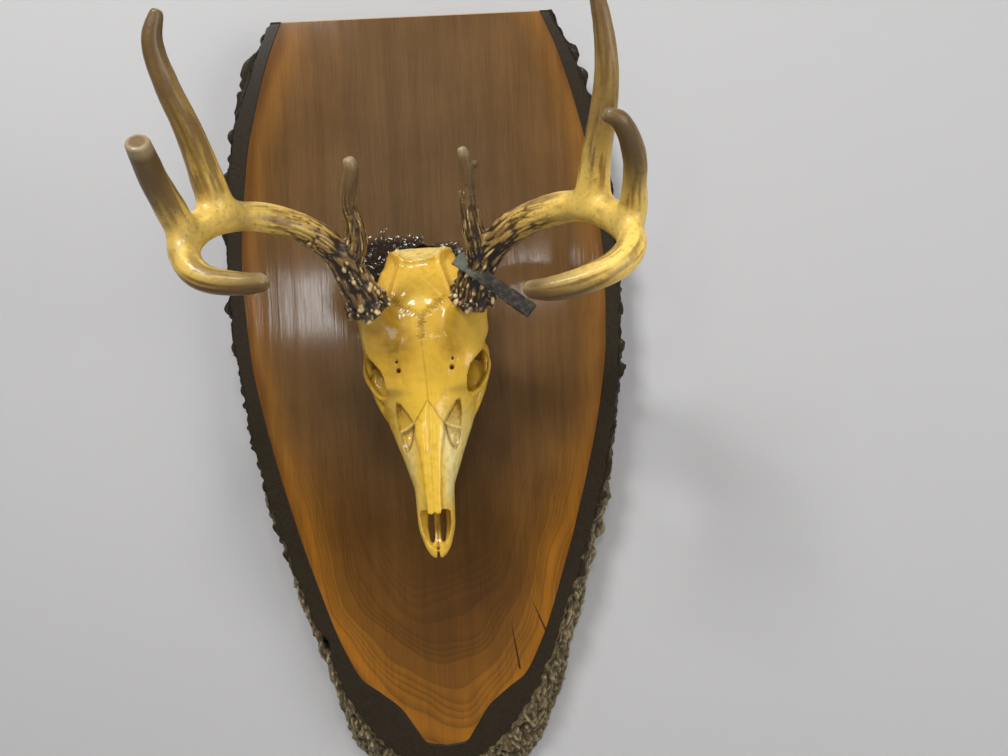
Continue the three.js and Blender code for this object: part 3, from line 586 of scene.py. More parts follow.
def buildSkull():
    growths = [sectionSkin("skull body", skull["sections"]), sectionSkin("nasals", skull["nasals"], 48, 80)]
    for hand in hands.values():
        growths.append(orbitRim(hand))
        growths += [skullTube(name, hand, **settings) for name, settings in skull["tubes"].items()]
        growths.append(pedicle(hand))
        growths += [skullLump(name, (along, hand * side, up), radii)
                    for name, ((along, side, up), radii) in skull["lumps"].items()]
    bone = fused(joined("skull", growths), detail["skullVoxel"] * detail["skullGrowths"])
    relax(bone, 9)
    along, side, up = intoSkull(pointsOf(bone)).T
    brow = ramp(along, 160, 178) * (1 - ramp(along, 236, 246)) * ramp(up, -34, -20) * (1 - ramp(up, 10, 20))
    relax(bone, 70, mask=brow)  # the brow flows up into the antlers' feet

    hollows = [sectionSkin("nose channel", skull["noseChannel"], 40, 60)]
    for hand in hands.values():
        slot = [(along, hand * side) for along, side in openings["palateSlot"]]
        hollows += [eyeBowl(hand), skullBlock("palate slot", slot, -60, -20)]
    hollows.append(skullBlock("tip notch", openings["tipNotch"], -50, -10))
    for middle, end, half in openings["nasalNotches"]:
        notch = [(34, middle - half * 1.3), (38, middle - half), (end, middle - 0.3), (end, middle + 0.3),
                 (38, middle + half), (34, middle + half * 1.3)]
        hollows.append(skullBlock("nasal notch", notch, -7, 5))
    hollows += [skullLump(name, *openings[name]) for name in ("behindPalate", "spineHole")]
    bone = carved(bone, fused(joined("hollows", hollows), detail["skullVoxel"] * detail["skullHollows"]))
    bone = fused(bone, detail["skullVoxel"])
    relax(bone, 2)
    shapeBone(bone)
    bone = thinned(bone, detail["skullTriangles"])
    paintBone(bone)
    return bone


def nearestOnLine(along, side, line):
    # distance from points to a line of (along, side) corners, and the nearest place's share of its length
    best = np.full(len(along), 1e9)
    spot = np.zeros(len(along))
    line = np.array(line, float)
    for n, (start, end) in enumerate(zip(line[:-1], line[1:])):
        run = end - start
        t = np.clip(((along - start[0]) * run[0] + (side - start[1]) * run[1]) / run.dot(run), 0, 1)
        gap = np.hypot(along - start[0] - t * run[0], side - start[1] - t * run[1])
        nearer = gap < best
        best = np.where(nearer, gap, best)
        spot = np.where(nearer, (n + t) / (len(line) - 1), spot)
    return best, spot


def lineDistance(along, side, line):
    return nearestOnLine(along, side, line)[0]


# lines on the skull as (along, side); those named for a side of it are the same on both sides
boneLines = {
    "coronalSeam": [(229, -25), (219, -18), (213.5, -9.4), (210, -0.7), (216, 8.5), (226, 19)],
    "browSeam": [(212, -0.6), (204, 0.2), (197, -1), (189, -1.6)],
    "midline": [(189, -1.6), (176, -1), (159, 0.2), (146, 0.6), (136.5, 0.6)],
    "nasalMiddle": [(136.5, 0.6), (120, 0.2), (42, 0), (30, 0), (12, 0)],
    "sideTempleRidge": [(222, 30), (230, 26), (240, 23.2), (250, 20.2), (258, 18), (266, 16.6), (275, 18.5),
                        (282, 21)],
    "sideBrowGroove": [(184, 28.5), (176, 27), (166, 23.5), (158, 22), (149, 19), (141, 17)],
    "sideNasal": [(43, 6.6), (57, 7.2), (79, 8.2), (94, 10), (112, 13.4), (118, 13.2), (126, 7.6),
                  (136.5, 0.8)],
    "sideTearOuter": [(138, 27.5), (126, 28.6), (116, 27.8), (106, 26), (95, 22)],
    "nuchalCrest": [(281, -29), (277, -25), (270, -20), (265, -14), (262.5, -7), (264, 1), (264.5, 6),
                    (267, 14), (272, 19), (278, 24), (282, 28)],
    "templeRim": [(240, 39), (249, 42), (258, 39), (266, 35), (277, 31.5)],
    "sideWishbone": [(249, 1.5), (242, 8), (235, 13.5), (229, 19)],
}
tearPit = {
    # outline beside the nasal bones: along, inner side, outer side
    "edges": [[94, 20, 22.4], [99, 17, 24.6], [106, 14.6, 26.2], [113, 13.4, 27.2], [117, 13, 27.6],
              [124, 16, 28.6], [131, 20.5, 28.8], [138, 25.5, 27.8]],
    "depth": 4.4,
    "bridge": [(112.5, 26.5), (114.5, 20), (119, 13)],
    "island": (103.5, 21.5),  # the thin scroll of bone that shows in the lower half
}


def zigzag(line, swing, step, seed):
    # turns a line into the tight to-and-fro of a skull's seam
    chance = np.random.default_rng(seed)
    line = np.array(line, float)
    reach = np.concatenate([[0], np.cumsum(np.hypot(*np.diff(line, axis=0).T))])
    places = np.arange(0, reach[-1], step)
    places = np.clip(places + chance.uniform(-0.3, 0.3, len(places)) * step, 0, reach[-1])
    middle = np.stack([np.interp(places, reach, line[:, k]) for k in (0, 1)], 1)
    run = np.gradient(middle, axis=0)
    across = np.stack([-run[:, 1], run[:, 0]], 1) / np.hypot(*run.T)[:, None]
    swings = np.where(np.arange(len(places)) % 2, 1, -1) * chance.uniform(0.35, 1, len(places)) * swing
    return middle + across * swings[:, None]


def nearSeams(along, side, width):
    # up to 1 on the seams and 0 away from them
    wide = np.abs(side)
    seams = [
        (zigzag(boneLines["coronalSeam"], 3.6, 1.6, 4), side, 0.6),
        (zigzag(boneLines["browSeam"], 4.4, 1.3, 6), side, 0.75),
        (zigzag(boneLines["nuchalCrest"][3:8], 0.9, 1.3, 9), side, 0.45),
        (boneLines["midline"], side, 0.4), (boneLines["nasalMiddle"], side, 0.25),
        (boneLines["sideNasal"], wide, 0.35), (boneLines["sideNasal"][-4:], wide, 0.7),
        (boneLines["sideTearOuter"], wide, 0.7),
    ]
    return np.max([strength * bell(lineDistance(along, across, line), 0, width)
                   for line, across, strength in seams], axis=0)


def shapeBone(bone):
    points, normals = pointsOf(bone), normalsOf(bone)
    along, side, up = intoSkull(points).T
    wide = np.abs(side)
    facing = normals @ skullAxes["up"]
    above = ramp(facing, 0.1, 0.5) * ramp(up, -32, -20)
    move = 0.4 * lumps(points, 16, 3, 2) + 0.14 * lumps(points, 4, 9, 2)
    move -= 0.55 * above * nearSeams(along, side, 0.9)
    # fine lengthways grooves on the nasal bones
    nasal = above * ramp(along, 40, 50) * (1 - ramp(along, 100, 130)) * (1 - ramp(wide, 6, 9))
    move -= 0.3 * nasal * bell(wide, 3.6 + 0.4 * np.sin(along / 9), 0.9)
    # the brow's two grooves, the dip between them and the swellings over the eyes
    gap, spot = nearestOnLine(along, wide, boneLines["sideBrowGroove"])
    move -= 1.2 * above * bell(gap, 0, 2.4) * bell(spot, 0.45, 0.4)
    move -= 1.5 * above * bell(along, 158, 17) * bell(wide, 10, 6)
    move += 0.9 * above * bell(along, 171, 14) * bell(wide, 33, 7)
    # temple ridges, and the hollow temples behind and below them
    rear = ramp(along, 224, 234) * ramp(up, -60, -40)
    move += 1.5 * bell(lineDistance(along, wide, boneLines["sideTempleRidge"]), 0, 1.7) * rear
    ridgeSide = np.interp(along, (222, 240, 258, 266, 282), (30, 23, 18, 17, 21))
    move -= 2.0 * rear * ramp(wide - ridgeSide, 1.5, 8)
    # the crest across the back of the skull, the rims of the temples and the forked ridge before the crest
    gap = lineDistance(along, side, boneLines["nuchalCrest"])
    move += (2.6 * bell(gap, 0, 4.5) + 1.3 * bell(gap, 0, 1.6)) * ramp(up, -50, -40)
    move += 1.6 * bell(lineDistance(along, wide, boneLines["templeRim"]), 0, 2) * ramp(up, -52, -44)
    move += 0.7 * bell(lineDistance(along, wide, boneLines["sideWishbone"]), 0, 1.8) * above
    shelf = ramp(along, 266, 270) * ramp(normals @ skullAxes["along"], 0.1, 0.5) * ramp(up, -46, -34)
    move += 0.3 * shelf * lumps(points, 5, 31, 2)
    # tear pits: a sunken, pored patch on each side with a bridge of bone across it
    inner, outer = keyed(tearPit["edges"], np.clip(along, 94, 138)).T
    inside = above * ramp(wide - inner, -0.8, 2.4) * ramp(outer - wide, -0.4, 0.6)
    inside *= ramp(along, 94, 97) * (1 - ramp(along, 135, 138))
    bridge = bell(lineDistance(along, wide, tearPit["bridge"]), 0, 1.2)
    island = np.hypot((along - tearPit["island"][0]) / 5.5, (wide - tearPit["island"][1]) / 1.7)
    floor = tearPit["depth"] * (0.75 + 0.25 * ramp(along, 110, 124)) + 0.35 * lumps(points, 4, 5, 2)
    floor *= 1 - 0.95 * bridge - 0.6 * (1 - ramp(island, 0.6, 1.1))
    move -= inside * floor
    setPoints(bone, points + normals * move[:, None])
    for hand in hands.values():
        for hole in openings["browHoles"]:
            drillBrow(bone, hand, *hole)


def drillBrow(bone, hand, along, side, radius):
    # a blood vessel's hole over the eye
    centre = outOfSkull([(along, hand * side, 4)])[0]
    points = pointsOf(bone)
    offset = points - centre
    depth = offset @ skullAxes["up"]
    flat = offset - depth[:, None] * skullAxes["up"]
    near = 1 - ramp(gapTo(flat, 0), radius * 0.5, radius)
    near *= ramp(depth, -12, -8)
    setPoints(bone, points - near[:, None] * openings["browHoleDepth"] * skullAxes["up"])


def paintBone(bone):
    points, normals = pointsOf(bone), normalsOf(bone)
    along, side, up = intoSkull(points).T
    wide = np.abs(side)
    facing = normals @ skullAxes["up"]
    above = ramp(facing, 0.0, 0.4)
    deep = hollowness(bone, 10)
    patches = lumps(points, 22, 21, 3)
    # brown shade over both halves of the brow
    left = 1.08 * bell(along, 190, 42) * bell(side, -26, 28)
    right = bell(along, 190, 30) * bell(side, 24, 20)
    shade = np.maximum(left, right)
    shade = shade * (0.85 + 0.12 * lumps(points, 17, 41, 3)) - 0.6 * bell(side, -1, 5) * ramp(along, 190, 205)
    # painted shade across the middle of the brow, which is turned from the light
    shade = np.maximum(shade, 0.44 * ramp(along, 132, 165) * (1 - ramp(along, 205, 220)))
    # painted shade in the tear pits, darkest along their edges
    inner, outer = keyed(tearPit["edges"], np.clip(along, 94, 138)).T
    bridge = lineDistance(along, wide, tearPit["bridge"])
    pit = above * ramp(wide - inner, -0.8, 0.8) * ramp(outer - wide, -0.8, 0.6) * ramp(along, 93, 96)
    pit *= 1 - ramp(along, 136, 139)
    edges = np.maximum(bell(wide - inner, 0.8, 1.1), bell(outer - wide, 0.8, 1.2))
    # layers of real brown stain and of painted shade, which darken the bone
    stainAndShadeLayers = [
        ramp(deep, 0.2, 1.5) * (0.35 + 0.65 * ramp(along, 45, 80)),
        above * shade,
        0.5 * bell(lineDistance(along, wide, boneLines["templeRim"]), 2, 2.5) * ramp(up, -56, -48),
        pit * (0.35 + 0.6 * edges) * (1 - bell(bridge, 0, 1.6)),
        # painted shade: darker on the under side, the base of the skull and the inside of the temples
        0.8 * (1 - ramp(up + 0.25 * (along - 150), -62, -30)) * ramp(along, 120, 150),
    ]
    # painted shade inside the eye sockets, on the walls that face away from above
    for hand in hands.values():
        gap = gapTo(points, orbitFrame(hand)[0])
        stainAndShadeLayers.append(0.7 * (1 - ramp(gap, 15, 22)) * (1 - above))
    # painted shade in the holes over the eyes
    for holeAlong, holeSide, radius in openings["browHoles"]:
        gap = np.hypot(along - holeAlong, wide - holeSide)
        stainAndShadeLayers.append(above * (1 - ramp(gap, radius * 0.6, radius * 1.3)))
    paint(bone, "stainAndShade", np.max(stainAndShadeLayers, axis=0) * (0.92 + 0.25 * patches))
    seam = above * ramp(up, -36, -28) * nearSeams(along, side, 0.75) * (0.75 + 0.5 * lumps(points, 5, 51, 2))
    snoutSeam = 0.8 * bell(side, 0, 0.9) * (1 - ramp(along, 24, 36)) * ramp(facing, 0.2, 0.6)
    paint(bone, "seam", np.maximum(seam, snoutSeam))
    # orange over the temples and the back of the brow
    warm = ramp(along, 205, 232) * (0.35 + 0.65 * ramp(wide, 15, 27)) + 0.35 * patches * ramp(along, 150, 200)
    paint(bone, "warmth", warm)
    # pale muzzle sides with a painted highlight that makes the right side paler, and pale crest, snout edges
    # and bridges
    paleAndLitLayers = [
        ramp(side, 6, 15) * (1 - ramp(along, 100, 142)) * ramp(along, 34, 60),
        0.5 * ramp(-side, 9, 18) * (1 - ramp(along, 90, 130)) * ramp(along, 20, 60),
        0.7 * ramp(along - 0.028 * side ** 2, 262, 267) * ramp(up, -60, -50),
        0.6 * (1 - ramp(along, 36, 46)) * (1 - above),
        0.8 * bell(bridge, 0, 1.4),
    ]
    paint(bone, "paleAndLit", np.max(paleAndLitLayers, axis=0) * (0.85 + 0.4 * patches))
    # where the bone is open and grainy: tear pits, the shelf over the neck, the rear of the muzzle
    grain = 0.5 * above * ramp(wide - inner, -1, 1) * ramp(outer - wide, -1, 1) * ramp(along, 93, 96)
    grain *= (1 - ramp(along, 136, 139)) * (0.4 + 0.6 * ramp(side, -5, 5))
    shelf = 0.25 * ramp(along, 266, 270) * above
    muzzle = 0.15 * above * bell(along, 134, 14) * ramp(wide, 8, 14) * (1 - ramp(wide, 24, 30))
    paint(bone, "grain", np.max([grain, shelf, muzzle], axis=0))


# varnished bone: amber lacquer gives a yellow body with brown pooled in the hollows, under a wet gloss;
# painted shade is mixed into the brown, and a painted highlight into the pale muzzle on the right
def boneMaterial():
    material, tree, shader = newMaterial("varnished bone", Roughness=0.38, IOR=1.5, Specular_IOR_Level=0.15,
                                         Coat_Weight=0.6, Coat_Roughness=0.16, Coat_IOR=1.5)
    read = readSurface(tree, ("stainAndShade", "seam", "warmth", "paleAndLit", "grain"),
                       broad=(18, 4), mottle=(6, 5), fine=(1.1, 3), pores=(2.2, 2))
    warmth = addNode(tree, "Math", {0: read["warmth"], 1: read["broad"]}, operation="ADD")
    warm = addNode(tree, "MapRange", {"Value": warmth, 1: 0.5, 2: 1.45, 3: 0.0, 4: 1.0})
    patchy = addNode(tree, "MapRange", {"Value": read["mottle"], 1: 0.35, 2: 0.65, 3: 0.82, 4: 1.06})
    faint = addNode(tree, "MapRange", {"Value": read["mottle"], 1: 0.48, 2: 0.72, 3: 0.0, 4: 0.42})
    amount = addNode(tree, "Math", {0: read["stainAndShade"], 1: patchy}, operation="MULTIPLY")
    amount = addNode(tree, "Math", {0: amount, 1: faint}, operation="MAXIMUM", use_clamp=True)
    stops = [(0.0, "#ab8024"), (0.5, "#8c6314"), (1.0, "#573607")]
    stainAndShadeTone = addNode(tree, "ValToRGB", {"Fac": read["stainAndShade"]}, stops=stops)
    pits = addNode(tree, "MapRange", {"Value": read["pores"], 1: 0.5, 2: 0.7, 3: 0.0, 4: 0.6})
    speck = addNode(tree, "Math", {0: pits, 1: read["grain"]}, operation="MULTIPLY")
    dark = addNode(tree, "Math", {0: speck, 1: read["seam"]}, operation="MAXIMUM", use_clamp=True)
    colour = "#dab038"
    layers = ((warm, "#dfaf42"), (read["paleAndLit"], "#e9d68c"), (amount, stainAndShadeTone), (dark, "#54340c"))
    for share, over in layers:
        colour = addNode(tree, "Mix", {0: share, 6: colour, 7: over}, out=2, data_type="RGBA")
    tree.links.new(colour, shader.inputs["Base Color"])
    height = addNode(tree, "Math", {0: read["fine"], 1: dark}, operation="SUBTRACT")
    height = addNode(tree, "Math", {0: read["mottle"], 1: 3.0, 2: height}, operation="MULTIPLY_ADD")
    bump = addNode(tree, "Bump", {"Height": height, "Strength": 0.3, "Distance": 0.4 * mm})
    tree.links.new(bump, shader.inputs["Normal"])
    return material


antlers = {
    # rows of x, height over the board's face, z, radius; the first beam row is the burr's middle
    "left": {
        "beam": [
            [-39.6, 97, 88.3, 15.5], [-47, 114, 109, 14.4], [-60, 136, 134, 12.6], [-81, 157, 149, 11.4],
            [-111, 184, 153, 11.5], [-134, 211, 143, 12], [-142, 230, 123, 11.4], [-127, 241, 102, 9.7],
            [-104, 240, 96, 8.4], [-87, 235, 97, 6.8], [-83, 234, 98, 3.5],
        ],
        "brow_tine": [
            [-51, 124, 122, 9], [-43, 132, 136, 10], [-41, 142, 150, 7.8], [-43, 154, 167, 6.6],
            [-40, 163, 180, 6.2], [-37, 168, 190, 5.8], [-39, 172, 197, 4.6],
        ],
        "second_tine": [
            [-127, 198, 148, 12], [-129, 205, 163, 13], [-130, 217, 178, 11.2], [-131, 240, 200, 9.4],
            [-136, 260, 224, 8.1], [-138, 272, 245, 6.8], [-131, 278, 262, 4],
        ],
        "third_tine": [
            [-140, 222, 124, 11], [-143, 234, 140, 11.2], [-145, 262, 161, 9.2], [-142, 290, 177, 7.8],
        ],
    },
    "right": {
        "beam": [
            [47, 97, 93, 16], [54, 116, 114, 15], [70, 134, 134, 13.4], [96, 154, 148, 12.5],
            [133, 184, 150, 12.2], [154, 209, 136, 12.2], [163, 232, 114, 10.6], [153, 242, 99, 10.6],
            [134, 246, 89, 9.9], [107, 241, 83, 8.6], [91, 235, 84, 6.2], [87.5, 234, 84, 3],
        ],
        "brow_tine": [
            [60, 124, 119, 9], [56, 132, 130, 10.6], [52, 144, 150, 8.4], [50, 156, 168, 7],
            [51, 166, 185, 6], [49, 171, 196, 5], [47, 173, 201, 3.6],
        ],
        "second_tine": [
            [141, 190, 144, 13], [142, 198, 156, 13.6], [143, 212, 172, 11], [147, 250, 210, 8.8],
            [146, 264, 230, 7.4], [142, 274, 251, 6], [135, 282, 276, 3],
        ],
        "third_tine": [
            [163, 214, 124, 11], [166, 222, 136, 11], [164, 244, 149, 8.4], [161, 264, 163, 8],
            [149, 286, 178, 6], [139, 290, 181, 4.4],
        ],
    },
    "burrRadius": 18.5, "beads": 19, "pearls": 75,
    "gutterDepth": 1.25,  # at the base; it fades to a seventh at the tips
    "gutterWidth": 2.7, "gutterLength": 19,
    "usualRadius": 13,  # what turns the way round an antler into millimetres
    "footReach": 58,  # how far from the burr there are pearls
    "webReach": 27,  # how far up a tine and along the beam the web between them goes
    # single knobs: x, height over the board's face, z, radius
    "knobs": {"left": [(-72, 158, 134, 3.8)], "right": [(57, 168, 189, 3.2)]},
}


def antlerRows(hand, part):
    rows = np.array(antlers[hand][part], float)
    rows[:, 1] = boardFront - rows[:, 1]
    return rows


def beamFoot(hand):
    # the burr's middle, and the direction in which the beam leaves it
    foot, following = antlerRows(hand, "beam")[:2, :3]
    return foot, (following - foot) / np.linalg.norm(following - foot)


def burrBeads(hand, seed):
    # a crown of knobs round the antler's foot
    chance = np.random.default_rng(seed)
    path = route(antlerRows(hand, "beam")[:2], 12)
    beads = []
    for n in range(antlers["beads"]):
        angle = 2 * math.pi * (n + chance.uniform(-0.3, 0.3)) / antlers["beads"]
        size = chance.uniform(2.1, 4.4)
        rise = int(chance.integers(1, 4))
        reach = antlers["burrRadius"] - 1.2 + chance.uniform(-0.8, 1.0)
        out = path["side"][rise] * math.cos(angle) + path["across"][rise] * math.sin(angle)
        radii = (size, size * chance.uniform(0.8, 1.2), size)
        beads.append(lump("bead", path["centre"][rise] + out * reach, radii))
    return beads


def tineWebs(beam, tine):
    # a web of antler in each angle between a tine and the beam
    along, up = reachAlong(beam), reachAlong(tine)
    start = gapTo(beam["centre"], tine["centre"][0]).argmin()
    top = tine["centre"][np.searchsorted(up, antlers["webReach"])]
    webs = []
    for way in (-1, 1):
        place = along[start] + way * antlers["webReach"]
        foot = beam["centre"][min(np.searchsorted(along, place), len(beam["centre"]) - 1)]
        middle = (top + foot) * 0.3 + tine["centre"][0] * 0.4
        webs.append(tubeSkin("web", [[*foot, 8], [*middle, 8.5], [*top, 6.5]], steps=24))
    return webs


def buildAntler(hand, seed):
    parts = []
    paths = []
    for part, fineness in (("beam", 40), ("brow_tine", 20), ("second_tine", 20), ("third_tine", 20)):
        rows = antlerRows(hand, part)
        parts.append(tubeSkin(part, rows, around=32, steps=fineness * len(rows)))
        paths.append(route(rows, 30 * len(rows)))
    foot, lift = beamFoot(hand)
    burr = antlers["burrRadius"]
    rows = [[*(foot + lift * rise), radius]
            for rise, radius in ((0, burr - 3), (2.5, burr - 0.5), (6, burr - 1), (10, 15.5))]
    parts.append(tubeSkin("burr", rows, around=32, steps=16))
    for path in paths[2:]:
        parts += tineWebs(paths[0], path)
    antler = fused(joined("antler_" + hand, parts), detail["antlerVoxel"] * detail["antlerGrowths"])
    relax(antler, 5)
    points = pointsOf(antler)
    forks = [gapTo(points, path["centre"][0]) for path in paths[1:]]
    relax(antler, 60, mask=1 - ramp(np.min(forks, axis=0), 18, 34))  # the tines flow out of the beam
    knobs = [lump("knob", (x, boardFront - height, z), (size,) * 3)
             for x, height, z, size in antlers["knobs"][hand]]
    antler = fused(joined("antler_" + hand, [antler] + knobs + burrBeads(hand, seed)), detail["antlerVoxel"])
    relax(antler, 2)
    shapeAntler(antler, paths, seed)
    return thinned(antler, detail["antlerTriangles"])


def antlerPlaces(points, paths):
    # for each point the nearest of the paths, 0 for the beam, and its nearest place on that path
    best = np.full(len(points), 1e9)
    owner = np.zeros(len(points), int)
    spot = np.zeros(len(points), int)
    chunk = 4000  # points at a time, to spare memory
    for number, path in enumerate(paths):
        for start in range(0, len(points), chunk):
            part = slice(start, start + chunk)
            gaps = np.linalg.norm(points[part, None] - path["centre"][None], axis=2) / path["radius"][None]
            nearest = gaps.argmin(1)
            gap = gaps.min(1)
            closer = gap < best[part]
            owner[part] = np.where(closer, number, owner[part])
            spot[part] = np.where(closer, nearest, spot[part])
            best[part] = np.where(closer, gap, best[part])
    return owner, spot


def shapeAntler(antler, paths, seed):
    points, normals = pointsOf(antler), normalsOf(antler)
    owner, spot = antlerPlaces(points, paths)
    local = np.zeros((len(points), 3))  # across the path in radii, in two directions, and along it in mm
    reach = np.zeros(len(points))  # 1 at a tip and 0 from 90 mm before it
    tine = np.zeros(len(points))  # 1 well out on a tine and 0 on the beam
    for number, path in enumerate(paths):
        mine = owner == number
        near = spot[mine]
        length = reachAlong(path)
        out = points[mine] - path["centre"][near]
        radius = path["radius"][near]
        local[mine] = np.stack([
            (out * path["side"][near]).sum(1) / radius, (out * path["across"][near]).sum(1) / radius,
            length[near] + (out * path["tangent"][near]).sum(1) + 300 * number,
        ], 1)
        reach[mine] = 1 - np.clip((length[-1] - length[near]) / 90, 0, 1)
        if number > 0:
            tine[mine] = ramp(length[near], 16, 75)
    onBeam, brow, outer = owner == 0, owner == 1, owner > 1
    footGap = gapTo(points, paths[0]["centre"][0])
    young = np.maximum(1 - ramp(footGap, 40, 150), 0.6 * brow * (1 - ramp(reach, 0.55, 0.9)))
    sway = 0.5 * noiseAt(points, 14, seed + 3)[:, None]  # the gutters wind a little
    rounds = local[:, :2] * antlers["usualRadius"]
    field = np.hstack([rounds / antlers["gutterWidth"] + sway, local[:, 2:] / antlers["gutterLength"]])
    gutter = 1 - np.abs(noiseAt(field, 1.0, seed)) * 2.2
    second = 1 - np.abs(noiseAt(field * [1.7, 1.7, 2.3], 1.0, seed + 5)) * 2.2
    groove = np.clip(0.6 * gutter + 0.4 * second, -1, 1)
    calm = 1 - 0.85 * ramp(reach - 0.25 * brow, 0.35, 0.9)
    forkGap = np.min([gapTo(points, path["centre"][0]) for path in paths[2:]], axis=0)
    plainFork = ramp(forkGap, 16, 42)  # the run of the streaks is lost where the tines leave the beam
    depth = antlers["gutterDepth"] * (0.14 + 0.86 * young) * calm * (0.2 + 0.8 * plainFork)
    move = -groove * depth + 0.25 * lumps(points, 9, seed)
    streak = noiseAt(np.hstack([rounds / 4, local[:, 2:] / 30]), 1.0, seed + 9)
    thread = noiseAt(np.hstack([rounds / 2.2, local[:, 2:] / 15]), 1.0, seed + 12)
    streak = (0.75 * streak + 0.6 * thread) * plainFork
    move -= 0.16 * thread * plainFork
    foot = np.flatnonzero((footGap < antlers["footReach"]) & onBeam)
    pearl = pearls(points, foot, footGap, paths[0]["tangent"][8], seed + 1)
    setPoints(antler, points + normals * (move + pearl)[:, None])
    deep = hollowness(antler, 4)
    # the gutters are dark over half of the foot, and over less and less of the beams
    edge = np.interp(young, (0, 0.3, 1), np.quantile(groove, (0.9, 0.74, 0.2)))
    dark = ramp(groove, edge - 0.12, edge + 0.3) * (0.3 + 0.7 * ramp(young, 0, 0.5))
    dark = dark * (1 - 0.6 * ramp(reach, 0.6, 0.95)) * plainFork
    # painted shade, with some real brown stain, on the undersides of the beams' ends
    facing = -normals[:, 2]
    underShadeAndStain = ramp(facing, -0.3, 0.4) * ramp(reach, 0.2, 0.6) * onBeam
    dark = np.maximum(dark, underShadeAndStain * np.clip(0.5 + 0.35 * streak, 0, 1))
    crevice = ramp(deep, 0.08, 0.4) * (0.25 + 0.75 * ramp(young, 0.1, 0.7))
    knob = np.maximum(ramp(-deep, 0.2, 0.62), 0.75 * ramp(pearl, 0.7, 1.8)) * ramp(young, 0.2, 0.6)
    # the left antler's third tine was cut short: its brown core shows inside a pale rim
    cutShort = paths[3]["radius"][-1] > 6
    endGap = gapTo(points, paths[3]["centre"][-1])
    core = 0.75 * cutShort * (1 - ramp(endGap, 4, 6))
    cutRim = 0.5 * cutShort * (1 - ramp(endGap, 8, 13))
    # the groove value also carries the painted shade of the undersides
    paint(antler, "groove", np.maximum(np.maximum(dark, crevice) - knob, core))
    paint(antler, "knob", knob)
    paint(antler, "young", young)
    duller = 0.14 * (points[:, 0].mean() < 0)  # the antler on the left is the browner one
    paint(antler, "streak", 0.5 + 0.9 * streak + duller)
    # downward faces near the tips get more of the dark tip colour: painted shade
    paint(antler, "reach", reach + 0.2 * ramp(facing, 0.0, 0.8) * ramp(reach, 0.1, 0.5))
    paint(antler, "tine", tine)
    pale = ramp(reach, 0.88, 1.0) * (0.5 - 0.42 * outer) * (1 - 0.5 * underShadeAndStain)
    paint(antler, "paleEnd", np.maximum(pale, cutRim))


def pearls(points, foot, footGap, run, seed):
    # how high the pearls stand round the antler's foot; each is drawn out along the antler
    chance = np.random.default_rng(seed)
    height = np.zeros(len(points))
    for spot in chance.choice(foot, min(antlers["pearls"], len(foot)), replace=False):
        size = chance.uniform(1.3, 2.9) * (1.15 - footGap[spot] / 150)
        offset = points - points[spot]
        gap = np.sqrt(np.maximum((offset ** 2).sum(1) - chance.uniform(0, 0.8) * (offset @ run) ** 2, 0))
        height = np.maximum(height, size * 0.75 * np.clip(1 - (gap / (size * 1.25)) ** 2, 0, 1))
    return height


# antler: tan polished ridges over dark brown gutters that hold dried blood and bark stain, with painted shade
# below
def antlerMaterial():
    material, tree, shader = newMaterial("antler", Roughness=0.5, IOR=1.5, Specular_IOR_Level=0.35,
                                         Coat_Weight=0.3, Coat_Roughness=0.2)
    read = readSurface(tree, ("groove", "young", "reach", "knob", "streak", "tine", "paleEnd"),
                       broad=(20, 4), speck=(3.2, 4), fine=(1.6, 4))
    patch = addNode(tree, "Math", {0: read["streak"], 1: read["broad"]}, operation="ADD")
    foot = addNode(tree, "MapRange", {"Value": read["young"], 1: 0.35, 2: 0.9, 3: 0.0, 4: 1.0})
    gutter = addNode(tree, "Mix", {0: foot, 6: "#5b3d16", 7: "#1f1209"}, out=2, data_type="RGBA")
    colour = addNode(tree, "Mix", {0: read["young"], 6: "#ecc660", 7: "#8b6935"}, out=2, data_type="RGBA")
    # each layer: what it follows, from and to which value, how much at most, and its colour
    layers = [
        # the tines' own olive brown, darker partly as painted shade on tines that face away from the light
        (read["tine"], 0.0, 1.0, 0.8, "#7b5b29"),
        (patch, 0.95, 1.35, 0.7, "#6b4d22"),
        (read["speck"], 0.55, 0.72, 0.45, "#6b4d22"),
        (read["reach"], 0.3, 0.85, 0.88, "#5b4526"),
        (read["paleEnd"], 0.0, 1.0, 1.0, "#b9a67e"),
        (read["groove"], 0.0, 1.0, 1.0, gutter),
        (read["knob"], 0.1, 0.7, 0.9, "#dcc389"),
    ]
    for value, low, high, most, over in layers:
        share = addNode(tree, "MapRange", {"Value": value, 1: low, 2: high, 3: 0.0, 4: most})
        colour = addNode(tree, "Mix", {0: share, 6: colour, 7: over}, out=2, data_type="RGBA")
    tree.links.new(colour, shader.inputs["Base Color"])
    bump = addNode(tree, "Bump", {"Height": read["fine"], "Strength": 0.5, "Distance": 0.5 * mm})
    tree.links.new(bump, shader.inputs["Normal"])
    return material


teeth = {
    "sizes": [11, 11, 11.5, 14, 15, 15.5], "front": 77, "frontSide": 15.5, "backSide": 27.5,
    "frontUp": -68, "backUp": -90.2, "voxel": 0.75,
}


